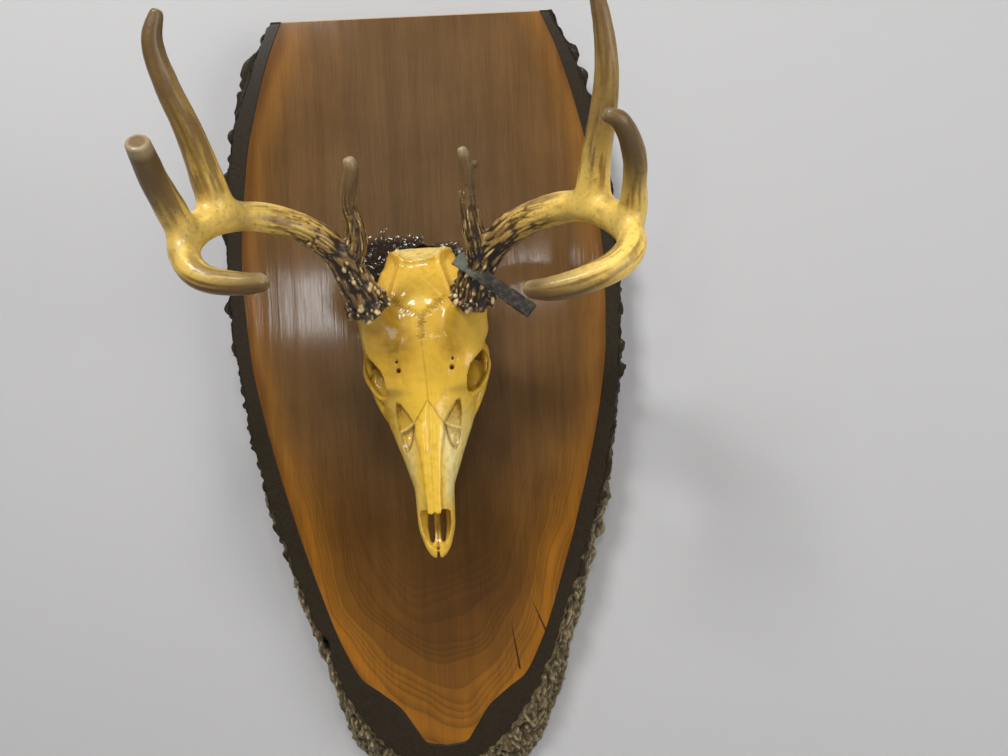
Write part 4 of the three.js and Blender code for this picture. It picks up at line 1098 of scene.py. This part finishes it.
def toothLobes(hand):
    # three cheek teeth of one lobe pair, then three of two, each lobe with an outer and an inner cusp
    row = sum(teeth["sizes"])
    start = 0
    lobes = []
    for index, size in enumerate(teeth["sizes"]):
        pairs = 1 if index < 3 else 2
        for pair in range(pairs):
            t = (start + size * (pair + 0.5) / pairs) / row
            along = teeth["front"] + t * row
            middle = teeth["frontSide"] + (teeth["backSide"] - teeth["frontSide"]) * t
            tip = teeth["frontUp"] + (teeth["backUp"] - teeth["frontUp"]) * t
            long = size / pairs * 0.5
            for outward, reach in ((1, 0), (-1, 2.2)):
                side = hand * (middle + outward * 3.4)
                lobes.append(skullLump("lobe", (along, side, tip + 9 + reach), (long, 3.6, 9)))
            lobes.append(skullLump("crown", (along, hand * middle, tip + 12), (long * 0.98, 6, 9)))
        start += size
    return lobes


def buildTeeth(side, hand):
    row = fused(joined("teeth_" + side, toothLobes(hand)), teeth["voxel"])
    relax(row, 3)
    points = pointsOf(row)
    along, up = intoSkull(points)[:, ::2].T
    t = (along - teeth["front"]) / sum(teeth["sizes"])
    lowest = teeth["frontUp"] + (teeth["backUp"] - teeth["frontUp"]) * t
    points += np.outer(np.clip(lowest - up, 0, 20), skullAxes["up"])  # the chewing surface is worn level
    setPoints(row, points)
    deep = hollowness(row, 5)
    paint(row, "stainAndShade", ramp(deep, 0.1, 0.9))
    return row


# tooth enamel: ivory and glossy, with brown tartar between the cusps
def enamelMaterial():
    material, tree, shader = newMaterial("stained enamel", Roughness=0.22, IOR=1.6)
    read = readSurface(tree, ("stainAndShade",), mottle=(3, 3))
    amount = addNode(tree, "Math", {0: read["stainAndShade"], 1: read["mottle"]}, operation="ADD")
    level = addNode(tree, "MapRange", {"Value": amount, 1: 0.45, 2: 1.3, 3: 0.0, 4: 0.9})
    colour = addNode(tree, "Mix", {0: level, 6: "#dccb98", 7: "#5f4018"}, out=2, data_type="RGBA")
    tree.links.new(colour, shader.inputs["Base Color"])
    return material


board = {
    "thick": -boardFront, "top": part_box("board")[1][2] / mm,
    "slant": 42, "lopsided": 4,
    # half widths at heights, of the wood and of the bark's outside on the face
    "wood": [
        [-333, 0], [-330, 19], [-318, 28], [-296, 43], [-279, 63], [-266, 80], [-241, 94], [-218, 104],
        [-180, 117], [-120, 136],
        [0, 166], [60, 175], [130, 178], [250, 167], [300, 156], [345, 143], [385, 127], [430, 106],
    ],
    "bark": [
        [-378, 0], [-368, 32], [-350, 60], [-325, 84], [-303, 97], [-235, 122], [-155, 147], [-50, 174],
        [50, 189], [110, 193], [175, 193], [275, 181], [315, 169], [350, 156], [385, 139], [430, 118],
    ],
    # half widths of the whole trunk's heart and sapwood, which the growth rings are shrunken copies of
    "trunk": [
        [-344, 0], [-339, 30], [-322, 60], [-288, 88], [-240, 108], [-180, 122], [-120, 138], [0, 166],
        [60, 175], [130, 178], [250, 167], [345, 143], [430, 106], [480, 76], [515, 46], [532, 22], [538, 0],
    ],
    "pocket": {"x": 0, "z": 116, "halfWidth": 39, "halfHeight": 45, "depth": 28},
    # rough patches beside the pocket: x, z, half width, half height
    "chips": [(-52, 143, 17, 25), (-27, 158, 24, 10), (22, 151, 16, 11)],
    # drying checks in the face: from and to as x and z, and half width
    "checks": [((90, -195), (104, -230), 1.0), ((68, -214), (75, -262), 0.9)],
    "ringMiddle": 130,  # height that the growth rings close round
    "rings": 42.0,  # from there to the bark
    "ringWaves": 57.0, "ringSwing": 0.6,  # how unevenly wide they are
    "hangerRecess": 6, "hangerRoom": 0.8,
}


def swayAt(z):
    # how far to the right the board's middle lies at a height
    return -board["lopsided"] * ramp(z, -50, 250)


def edgePoints(rows, turn, deep):
    # turn runs from -1, the left end of the top cut, through 0, the lowest point, to 1; deep is 0 at the face
    shift = board["slant"] * deep
    bottom = rows[0][0] - shift
    rise = 1 - np.cos(np.abs(turn) * math.pi / 2)
    z = bottom + (board["top"] - bottom) * rise
    half = keyed(rows, z + shift)[:, 0]
    return np.stack([np.sign(turn) * half + swayAt(z), boardFront * (1 - deep), z], 1)


def outwardOf(rows, turn, deep):
    # the outline's outward direction in the plane of the face
    step = 0.004
    after, before = np.minimum(turn + step, 1), np.maximum(turn - step, -1)
    run = edgePoints(rows, after, deep) - edgePoints(rows, before, deep)
    run /= np.linalg.norm(run, axis=1)[:, None]
    return np.stack([run[:, 2], np.zeros(len(run)), -run[:, 0]], 1)


def buildBoard():
    def place(u, v):
        # round the slab's edge from the left of the face: face, right side, back, left side
        corner = np.array([0, 0.46, 0.5, 0.96, 1])
        across = np.interp(u, corner, [-1, 1, 1, -1, -1])
        deep = np.interp(u, corner, [0, 0, 1, 1, 0])
        edge = edgePoints(board["wood"], v, deep)
        middle = swayAt(edge[:, 2])
        edge[:, 0] = middle + (edge[:, 0] - middle) * across
        return edge * mm
    slab = sweptSkin("board", place, 150, 150)
    pocket = board["pocket"]
    bm = bmesh.new()
    depth = 2 * pocket["depth"] * mm
    bmesh.ops.create_cone(bm, cap_ends=True, segments=90, radius1=1, radius2=0.9, depth=depth)
    bmesh.ops.rotate(bm, matrix=Matrix.Rotation(-math.pi / 2, 3, "X"), verts=bm.verts)
    for vert in bm.verts:
        x, z = vert.co.x, vert.co.z
        ragged = 1 + 0.03 * math.sin(7 * x + 9 * z) + 0.02 * math.sin(23 * x - 17 * z)
        vert.co.x = (pocket["x"] + x * pocket["halfWidth"] * ragged) * mm
        vert.co.z = (pocket["z"] + z * pocket["halfHeight"] * ragged) * mm
        vert.co.y += boardFront * mm
    hollows = [finished("pocket", bm)]
    for start, end, half in board["checks"]:
        run = np.array(end, float) - start
        middle = start + run * 0.5
        across = np.array([-run[1], run[0]]) / np.hypot(*run) * half
        corners = [start, middle + across * 0.8, end + across, end - across, middle - across * 0.8]
        hollows.append(block("check", [(x, boardFront - 1, z) for x, z in corners], (0, 6, 0)))
    # the hanger plate's recess, with a little room round the plate
    low, high = (np.array(corner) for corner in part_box("hanger_plate"))
    bm = bmesh.new()
    bmesh.ops.create_cube(bm, size=1)
    size = high - low + board["hangerRoom"] * mm
    bmesh.ops.scale(bm, vec=(size[0], 2 * board["hangerRecess"] * mm, size[2]), verts=bm.verts)
    bmesh.ops.translate(bm, vec=((low[0] + high[0]) / 2, 0, (low[2] + high[2]) / 2), verts=bm.verts)
    hollows.append(finished("hanger_recess", bm))
    slab = carved(slab, joined("hollows", hollows))
    slab.data.set_sharp_from_angle(angle=math.radians(40))
    paintBoard(slab)
    return slab


def paintBoard(slab):
    points = pointsOf(slab)
    deep = 1 - points[:, 1] / boardFront
    x = points[:, 0] - swayAt(points[:, 2])
    z = points[:, 2] + board["slant"] * deep - board["ringMiddle"]
    rim = np.linspace(board["trunk"][0][0], board["trunk"][-1][0], 400)
    half = keyed(board["trunk"], rim)[:, 0]
    rimAngle = np.arctan2(half, rim - board["ringMiddle"])
    rimReach = np.hypot(half, rim - board["ringMiddle"])
    order = np.argsort(rimAngle)
    limit = np.interp(np.arctan2(np.abs(x), z), rimAngle[order], rimReach[order])
    paint(slab, "ring", np.hypot(x, z) / limit)
    gap = np.min([np.hypot((points[:, 0] - x) / wide, (points[:, 2] - z) / tall)
                  for x, z, wide, tall in board["chips"]], axis=0)
    chipped = 1 - ramp(gap + 0.55 * lumps(points, 9, 4, 4), 0.8, 1.05)
    paint(slab, "chipped", chipped * (deep < 0.7))
    paint(slab, "low", 1 - ramp(points[:, 2], -230, 40))


# walnut-like hardwood under thick poured varnish: brown heart, orange sapwood, growth rings nested as Us
def woodMaterial():
    material, tree, shader = newMaterial("varnished wood", Roughness=0.6, IOR=1.5, Specular_IOR_Level=0.03,
                                         Coat_Weight=0.55, Coat_Roughness=0.1, Coat_IOR=1.5)
    read = readSurface(tree, ("ring", "chipped", "low"), broad=(60, 4), drift=(85, 1))
    # fibres 0.8 mm wide and 40 mm long, and bands of them about 9 mm wide, run up and down
    fibreSpace = addNode(tree, "Mapping", {"Vector": read["place"], "Scale": (1, 0.3, 0.02)})
    fibre = addNode(tree, "TexNoise", {"Vector": fibreSpace, "Scale": 1 / (0.8 * mm), "Detail": 3.0})
    band = addNode(tree, "TexNoise", {"Vector": fibreSpace, "Scale": 1 / (9 * mm), "Detail": 4.0})
    drift = addNode(tree, "MapRange", {"Value": read["drift"], 1: 0.25, 2: 0.75, 3: -0.035, 4: 0.035})
    wander = addNode(tree, "Math", {0: read["ring"], 1: drift}, operation="ADD")
    # growth rings, faint in the heart and plain in the sapwood
    uneven = addNode(tree, "Math", {0: wander, 1: board["ringWaves"]}, operation="MULTIPLY")
    uneven = addNode(tree, "Math", {0: uneven}, operation="SINE")
    rings = addNode(tree, "Math", {0: wander, 1: board["rings"]}, operation="MULTIPLY")
    rings = addNode(tree, "Math", {0: uneven, 1: board["ringSwing"], 2: rings}, operation="MULTIPLY_ADD")
    rings = addNode(tree, "Math", {0: rings}, operation="FRACT")
    late = addNode(tree, "MapRange", {"Value": rings, 1: 0.3, 2: 1.0, 3: 0.0, 4: 1.0})
    fading = ((read["low"], 0.0, 1.0, 0.12, 1.0), (wander, 0.55, 0.92, 0.09, 0.36))
    for value, low, high, least, most in fading:
        share = addNode(tree, "MapRange", {"Value": value, 1: low, 2: high, 3: least, 4: most})
        late = addNode(tree, "Math", {0: late, 1: share}, operation="MULTIPLY")
    shade = addNode(tree, "Math", {0: 1.0, 1: late}, operation="SUBTRACT")
    for value, least, most in ((fibre, 0.86, 1.13), (band, 0.88, 1.11), (read["broad"], 0.85, 1.12)):
        share = addNode(tree, "MapRange", {"Value": value, 1: 0.3, 2: 0.7, 3: least, 4: most})
        shade = addNode(tree, "Math", {0: shade, 1: share}, operation="MULTIPLY")
    upper = addNode(tree, "ValToRGB", {"Fac": wander}, stops=[
        (0.0, "#5a442c"), (0.5, "#5d452b"), (0.86, "#644726"), (0.91, "#6f4c23"), (0.96, "#7a5224"),
        (1.0, "#623e16"),
    ])
    lower = addNode(tree, "ValToRGB", {"Fac": wander}, stops=[
        (0.0, "#56380c"), (0.5, "#4f3006"), (0.78, "#5d3906"), (0.86, "#7c4e0b"), (0.94, "#8f590b"),
        (1.0, "#744506"),
    ])
    body = addNode(tree, "Mix", {0: read["low"], 6: upper, 7: lower}, out=2, data_type="RGBA")
    colour = addNode(tree, "VectorMath", {0: body, "Scale": shade}, operation="SCALE")
    # the sawn top end: end grain in streaks through the thickness, with a painted highlight along the edge at
    # the face
    endSpace = addNode(tree, "Mapping", {"Vector": read["place"], "Scale": (1, 0.12, 1)})
    endGrain = addNode(tree, "TexNoise", {"Vector": endSpace, "Scale": 1 / (4 * mm), "Detail": 4.0,
                                          "Distortion": 0.6})
    streaks = addNode(tree, "MapRange", {"Value": endGrain, 1: 0.35, 2: 0.65, 3: 0.0, 4: 1.0})
    endTone = addNode(tree, "Mix", {0: streaks, 6: "#5e4127", 7: "#8f6c45"}, out=2, data_type="RGBA")
    height = addNode(tree, "SeparateXYZ", {"Vector": read["place"]}, out="Z")
    depth = addNode(tree, "SeparateXYZ", {"Vector": read["place"]}, out="Y")
    atTop, nearTop, nearFace = (
        addNode(tree, "MapRange", {"Value": value, 1: low * mm, 2: high * mm, 3: least, 4: most})
        for value, low, high, least, most in (
            (height, board["top"] - 0.4, board["top"] - 0.2, 0.0, 1.0),
            (height, board["top"] - 1.1, board["top"] - 0.7, 0.0, 0.8),
            (depth, boardFront + 0.8, boardFront + 2.2, 1.0, 0.0),
        )
    )
    # painted highlight along the top edge of the face
    rim = addNode(tree, "Math", {0: nearTop, 1: nearFace}, operation="MULTIPLY")
    for share, over in ((read["chipped"], "#2a2016"), (atTop, endTone), (rim, "#c2a98a")):
        colour = addNode(tree, "Mix", {0: share, 6: colour, 7: over}, out=2, data_type="RGBA")
    tree.links.new(colour, shader.inputs["Base Color"])
    chips = addNode(tree, "TexVoronoi", {"Vector": read["place"], "Scale": 1 / (7 * mm), "Randomness": 1.0})
    crumbs = addNode(tree, "TexNoise", {"Vector": read["place"], "Scale": 1 / (9 * mm), "Detail": 1.0,
                                        "Distortion": 0.8})
    rough = addNode(tree, "Math", {0: chips, 1: crumbs}, operation="ADD")
    rough = addNode(tree, "Math", {0: rough, 1: read["chipped"]}, operation="MULTIPLY")
    for value, share in ((band, 0.07), (fibre, 0.012)):
        rough = addNode(tree, "Math", {0: value, 1: share, 2: rough}, operation="MULTIPLY_ADD")
    bump = addNode(tree, "Bump", {"Height": rough, "Strength": 1.0, "Distance": 3 * mm})
    tree.links.new(bump, shader.inputs["Normal"])
    tree.links.new(bump, shader.inputs["Coat Normal"])
    return material


bark = {
    "roughWidth": [[-420, 22], [-300, 22], [-230, 17], [-150, 9], [-80, 4], [0, 3], [400, 3]],
    "leftShare": 0.68,  # the left side is cut cleaner than the right
    "roughDrop": 13,  # how far the rough outside falls back from the sawn face
    "ridgeDepth": 4.0, "toothDepth": 4.5,
    # noises over the outside: lump size along the edge and round it, and seed
    "noises": {"ridge": (34, 7, 31), "big": (60, 40, 41), "block": (9, 9, 37), "fine": (4.5, 5, 43),
               "tooth": (15, 34, 61), "nick": (6, 9, 67)},
    "edgeRun": 900,  # about how far the edge runs from the lowest point to the top, each side
    # a gap where a plate has lifted
    "slot": {"x": -115, "z": -231, "halfWidth": 3.2, "halfHeight": 9, "lean": 18},
}


def buildBark():
    # round the bark: wood's edge, sawn face, rough front, outside, back, and the side against the wood
    corner = np.array([0, 0.16, 0.42, 0.74, 0.86, 1])

    def place(u, v):
        turn = v * 2 - 1
        flat = np.zeros(len(u))
        inner = [edgePoints(board["wood"], turn, flat + deep) for deep in (0, 1)]
        outer = [edgePoints(board["bark"], turn, flat + deep) for deep in (0, 1)]
        out = outwardOf(board["bark"], turn, flat)
        width = np.linalg.norm(outer[0] - inner[0], axis=1)
        rough = np.minimum(keyed(bark["roughWidth"], outer[0][:, 2])[:, 0], width * 0.75)
        rough *= bark["leftShare"] + (1 - bark["leftShare"]) * ramp(turn, -0.15, 0.1)
        cut = outer[0] - (outer[0] - inner[0]) * (rough / width)[:, None]
        fallen = outer[0] - out
        fallen[:, 1] += np.minimum(rough * 0.6, bark["roughDrop"])
        path = np.stack([inner[0], cut, fallen, outer[1], inner[1], inner[0]], 0)
        n = np.clip(np.searchsorted(corner, u, side="right") - 1, 0, 4)
        t = ((u - corner[n]) / (corner[n + 1] - corner[n]))[:, None]
        rows = np.arange(len(u))
        points = path[n, rows] * (1 - t) + path[n + 1, rows] * t
        outside = ramp(u, 0.17, 0.24) * (1 - ramp(u, 0.72, 0.76))
        run = np.abs(turn) ** 0.9 * np.sign(turn) * bark["edgeRun"]
        ring = np.interp(u, corner, [0, 12, 34, 84, 96, 140])
        at = {name: noiseAt(np.stack([run / long, ring / wide, flat], 1), 1.0, seed)
              for name, (long, wide, seed) in bark["noises"].items()}
        ridge = 1 - 2 * np.abs(at["ridge"])
        upper = ramp(outer[0][:, 2], -260, -60)
        swell = bark["ridgeDepth"] * (0.45 * ridge + 0.7 * at["block"] + 0.45 * at["big"] + 0.4 * at["fine"])
        bite = 1.5 * np.abs(at["tooth"]) + 0.9 * np.abs(at["nick"]) - 0.95
        swell += bark["toothDepth"] * (0.35 + 0.65 * upper) * bite
        forward = np.array([0, -1, 0]) * (1 - ramp(u, 0.36, 0.5))[:, None]
        direction = out * ramp(u, 0.2, 0.42)[:, None] + forward * 0.8
        points = points + direction * (swell * outside)[:, None]
        edge = bell(u, 0.16, 0.05) * np.where(np.abs(turn) > 0.995, 0, 1)
        points = points + out * (edge * 2.2 * noiseAt(np.stack([run / 8, flat, flat], 1), 1.0, 47))[:, None]
        points[:, 1] = np.clip(points[:, 1], boardFront - 1.5, 0)
        points[:, 2] = np.minimum(points[:, 2], board["top"])
        return points * mm
    ring = sweptSkin("bark", place, 64, 760)
    points = pointsOf(ring)
    deep = hollowness(ring, 4)
    slot = bark["slot"]
    turned = math.radians(slot["lean"])
    x, z = points[:, 0] - slot["x"], points[:, 2] - slot["z"]
    inside = np.hypot((x * math.cos(turned) + z * math.sin(turned)) / slot["halfWidth"],
                      (z * math.cos(turned) - x * math.sin(turned)) / slot["halfHeight"])
    inside = (1 - ramp(inside, 0.7, 1.15)) * (points[:, 1] < boardFront + 12)
    points[:, 1] += 9 * inside
    setPoints(ring, points)
    # painted shade in the furrows and in the gap of the lifted plate, over the bark's own dark colour
    paint(ring, "crackAndShade", np.maximum(ramp(deep, -0.1, 1.1), inside))
    # painted highlight on the crests of the lower bark's plates
    paint(ring, "crestHighlight", ramp(-deep, 0.1, 0.9) * (1 - ramp(points[:, 2], -160, 60)))
    paint(ring, "high", ramp(points[:, 2], -200, 40))
    paint(ring, "sawn", points[:, 1] < boardFront + 0.6)
    return ring


# bark: corky grey-brown plates with dark furrows, with painted shade in them and a painted highlight on low
# crests;
# where the saw cut it, it is near black and varnished
def barkMaterial():
    material, tree, shader = newMaterial("bark", Roughness=0.7, IOR=1.5, Specular_IOR_Level=0.12,
                                         Coat_Weight=0.12, Coat_Roughness=0.25)
    read = readSurface(tree, ("crackAndShade", "sawn", "crestHighlight", "high"), grit=(2.2, 5))
    patch = addNode(tree, "TexNoise", {"Vector": read["place"], "Scale": 1 / (9 * mm), "Detail": 6.0,
                                       "Roughness": 0.7})
    colour = addNode(tree, "ValToRGB", {"Fac": patch}, stops=[
        (0.32, "#292116"), (0.48, "#4c3f2b"), (0.6, "#726346"), (0.72, "#a2936c")])
    cut = addNode(tree, "Mix", {0: read["grit"], 6: "#17130b", 7: "#33291a"}, out=2, data_type="RGBA")
    for share, over in (("crestHighlight", "#9d8f6c"), ("high", "#38332c"), ("crackAndShade", "#15110d"), ("sawn", cut)):
        colour = addNode(tree, "Mix", {0: read[share], 6: colour, 7: over}, out=2, data_type="RGBA")
    tree.links.new(colour, shader.inputs["Base Color"])
    bump = addNode(tree, "Bump", {"Height": read["grit"], "Strength": 0.8, "Distance": 1.2 * mm})
    tree.links.new(bump, shader.inputs["Normal"])
    return material


bar = {"from": (37.3, 124, 125.2), "to": (96.7, 147, 76.4), "wide": 13, "thick": 4.6, "roundness": 0.9}


def buildBar():
    ends = [Vector((x, boardFront - height, z)) * mm for x, height, z in (bar["from"], bar["to"])]
    along = (ends[1] - ends[0]).normalized()
    across = Vector((0, -1, 0)).cross(along).normalized()
    outward = across.cross(along).normalized()
    length = (ends[1] - ends[0]).length
    bm = bmesh.new()
    bmesh.ops.create_cube(bm, size=1)
    bmesh.ops.scale(bm, vec=(bar["wide"] * mm, bar["thick"] * mm, length), verts=bm.verts)
    rounded(bm, bar["roundness"], 2)
    for axis, cuts in (((1, 0, 0), 8), ((0, 1, 0), 3), ((0, 0, 1), 60)):
        size = Vector((bar["wide"] * mm, bar["thick"] * mm, length)).dot(Vector(axis))
        for n in range(1, cuts):
            bmesh.ops.bisect_plane(bm, geom=bm.verts[:] + bm.edges[:] + bm.faces[:],
                                   plane_co=Vector(axis) * size * (n / cuts - 0.5), plane_no=axis)
    turn = Matrix((across, outward, along)).transposed().to_4x4()
    bmesh.ops.transform(bm, matrix=Matrix.Translation((ends[0] + ends[1]) / 2) @ turn, verts=bm.verts)
    piece = finished("iron_bar", bm)
    points, normals = pointsOf(piece), normalsOf(piece)
    place = (points - np.array(ends[0]) / mm) @ np.array(along)
    dent = 0.8 * lumps(points, 8, 51, 3) + 0.35 * noiseAt(points, 2.2, 57) - 0.5
    dent -= 1.3 * bell(place, 14, 1.4) + 0.8 * bell(place, 27, 1.2) + 0.7 * bell(place, 47, 1.1)
    setPoints(piece, points + normals * dent[:, None])
    piece.data.set_sharp_from_angle(angle=math.radians(50))
    paint(piece, "upperEnd", 1 - ramp(place, 14, 30))
    return piece


# forged iron left dark: scale and dirt make it dull grey-brown, with a few worn edges
def ironMaterial():
    material, tree, shader = newMaterial("dark iron", Metallic=0.1, Roughness=0.65, Specular_IOR_Level=0.3)
    read = readSurface(tree, ("upperEnd",), scale=(4, 6))
    tone = addNode(tree, "ValToRGB", {"Fac": read["scale"]}, stops=[
        (0.3, "#120f0a"), (0.5, "#262118"), (0.7, "#463e2d")])
    bright = addNode(tree, "Math", {0: read["upperEnd"], 1: 0.6}, operation="MULTIPLY")
    colour = addNode(tree, "Mix", {0: bright, 6: tone, 7: "#6c7164"}, out=2, data_type="RGBA")
    tree.links.new(colour, shader.inputs["Base Color"])
    bump = addNode(tree, "Bump", {"Height": read["scale"], "Strength": 0.8, "Distance": 0.8 * mm})
    tree.links.new(bump, shader.inputs["Normal"])
    return material


# zinc-plated steel: pale grey spangle, dulled
def zincMaterial():
    material, tree, shader = newMaterial("zinc plate", Metallic=0.9, Roughness=0.42)
    place = addNode(tree, "TexCoord", out="Object")
    spangle = addNode(tree, "TexVoronoi", {"Vector": place, "Scale": 1 / (3 * mm)})
    tone = addNode(tree, "Mix", {0: spangle, 6: "#b4b6b6", 7: "#8d9091"}, out=2, data_type="RGBA")
    tree.links.new(tone, shader.inputs["Base Color"])
    return material


# two countersunk screws beside the keyhole, at shares of the plate's width
screw = {"shares": (0.12, 0.88), "inner": 2.2, "outer": 3.1, "height": 1.2, "edge": 0.15, "sunk": 0.45}


def hangerScrews():
    low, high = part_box("hanger_plate")
    screws = []
    for share in screw["shares"]:
        bm = bmesh.new()
        radii = {"radius1": screw["inner"] * mm, "radius2": screw["outer"] * mm}
        bmesh.ops.create_cone(bm, cap_ends=True, segments=24, depth=screw["height"] * mm, **radii)
        rounded(bm, screw["edge"], 1)
        bmesh.ops.rotate(bm, matrix=Matrix.Rotation(-math.pi / 2, 3, "X"), verts=bm.verts)
        x = low[0] + (high[0] - low[0]) * share
        place = (x, high[1] - screw["sunk"] * mm, (low[2] + high[2]) / 2)
        bmesh.ops.translate(bm, vec=place, verts=bm.verts)
        screws.append(finished("screw", bm))
    return joined("hanger_screws", screws)


stage = {
    # lengths in metres
    "wall": "#b4b3b3", "wallGap": 0.003, "clearWithin": 0.012, "floorDrop": 0.35,
    "side": 6, "forward": 8, "height": 5, "aim": (0, -0.15, 0.05),
    "lights": [
        # the first is the ceiling light up to the left
        {"at": (-0.75, -1.75, 1.55), "size": (0.6, 0.45), "watts": 42},
        {"at": (0.3, -1.85, 1.6), "size": (0.4, 0.3), "watts": 14},
        {"at": (1.9, -1.6, 0.0), "size": (1.2, 1.2), "watts": 22},
        # two far lamps whose glare lies on the varnish beside the skull
        {"at": (-0.69, -2.38, 0.36), "size": (0.17, 0.24), "watts": 2.6},
        {"at": (0.24, -2.38, 0.44), "size": (0.14, 0.16), "watts": 1.5},
        # behind the wall, for the board's back alone
        {"at": (0.9, 1.9, 1.1), "size": (0.9, 0.9), "watts": 30},
    ],
    "world": 0.15,
}


def buildStage():
    material, tree, shader = newMaterial("painted wall", Base_Color=linear(stage["wall"]), Roughness=0.9)
    # the wall is clear from behind and for light on its way to the board's back, so that the back can be seen
    behind = addNode(tree, "NewGeometry", out="Backfacing")
    reach = addNode(tree, "LightPath", out="Ray Length")
    near = addNode(tree, "Math", {0: reach, 1: stage["clearWithin"]}, operation="LESS_THAN")
    opened = addNode(tree, "Math", {0: behind, 1: near}, operation="MAXIMUM")
    clear = addNode(tree, "BsdfTransparent")
    mixed = addNode(tree, "MixShader", {0: opened, 1: shader.outputs[0], 2: clear})
    tree.links.new(mixed, tree.nodes["Material Output"].inputs["Surface"])
    side, front, top = stage["side"], -stage["forward"], stage["height"]
    low = cadBox[0][2] - stage["floorDrop"]
    for name, corners in (
        ("wall", [(-side, 0, low), (side, 0, low), (side, 0, top), (-side, 0, top)]),
        ("floor", [(-side, front, low), (side, front, low), (side, 0, low), (-side, 0, low)]),
    ):
        bm = bmesh.new()
        bm.faces.new([bm.verts.new((x, y + stage["wallGap"], z)) for x, y, z in corners])
        piece = meshed(name, bm)
        piece.data.materials.append(material)
        piece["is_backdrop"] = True


def buildLights():
    aim = Vector(stage["aim"])
    for n, settings in enumerate(stage["lights"]):
        data = bpy.data.lights.new(f"lamp {n + 1}", "AREA")
        data.shape = "RECTANGLE"
        data.size, data.size_y = settings["size"]
        data.energy = settings["watts"]
        lamp = newObject(data.name, data)
        lamp.location = settings["at"]
        lamp.visible_camera = False
        lamp.rotation_euler = (aim - Vector(settings["at"])).to_track_quat("-Z", "Y").to_euler()
    world = bpy.data.worlds.new("room")
    world.use_nodes = True
    background = world.node_tree.nodes["Background"].inputs
    background["Color"].default_value = (1, 1, 1, 1)
    background["Strength"].default_value = stage["world"]
    bpy.context.scene.world = world


def settle(piece, material, slot, *nodes):
    # gives a finished piece its material and its place in the frame
    piece.data.materials.clear()
    piece.data.materials.append(material)
    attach(piece, "root")
    if nodes:
        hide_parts(*nodes)


def nodesStarting(*starts):
    return [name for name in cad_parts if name.startswith(starts)]


def build():
    buildCamera()
    buildStage()
    buildLights()
    print("stage ready")
    boneNodes = nodesStarting("braincase", "nasal", "frontal", "premaxilla", "upper_jaw", "cheekbone")
    settle(buildSkull(), boneMaterial(), "bone", *boneNodes)
    print("skull ready")
    enamel = enamelMaterial()
    for side, hand in hands.items():
        settle(buildTeeth(side, hand), enamel, "bone")
    print("teeth ready")
    horn = antlerMaterial()
    for seed, side in enumerate(hands):
        settle(buildAntler(side, 11 + 40 * seed), horn, "antler", *nodesStarting("antler_" + side))
    print("antlers ready")
    settle(buildBoard(), woodMaterial(), "wood", "board")
    settle(buildBark(), barkMaterial(), "bark", *nodesStarting("bark"))
    print("board and bark ready")
    settle(buildBar(), ironMaterial(), "iron", "iron_bar")
    zinc = zincMaterial()
    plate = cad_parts["hanger_plate"]
    plate.data.materials.clear()
    plate.data.materials.append(zinc)
    settle(hangerScrews(), zinc, "zinc")
    print("bar and hanger ready")


build()
bpy.context.scene.view_settings.view_transform = "Standard"
meshes = [piece.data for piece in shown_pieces() if piece.type == "MESH"]
print("triangles", sum(len(face.vertices) - 2 for mesh in meshes for face in mesh.polygons))
boxes = {"cad": cadBox, "visual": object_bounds()}
{name: [list(corner) for corner in box] for name, box in boxes.items()}
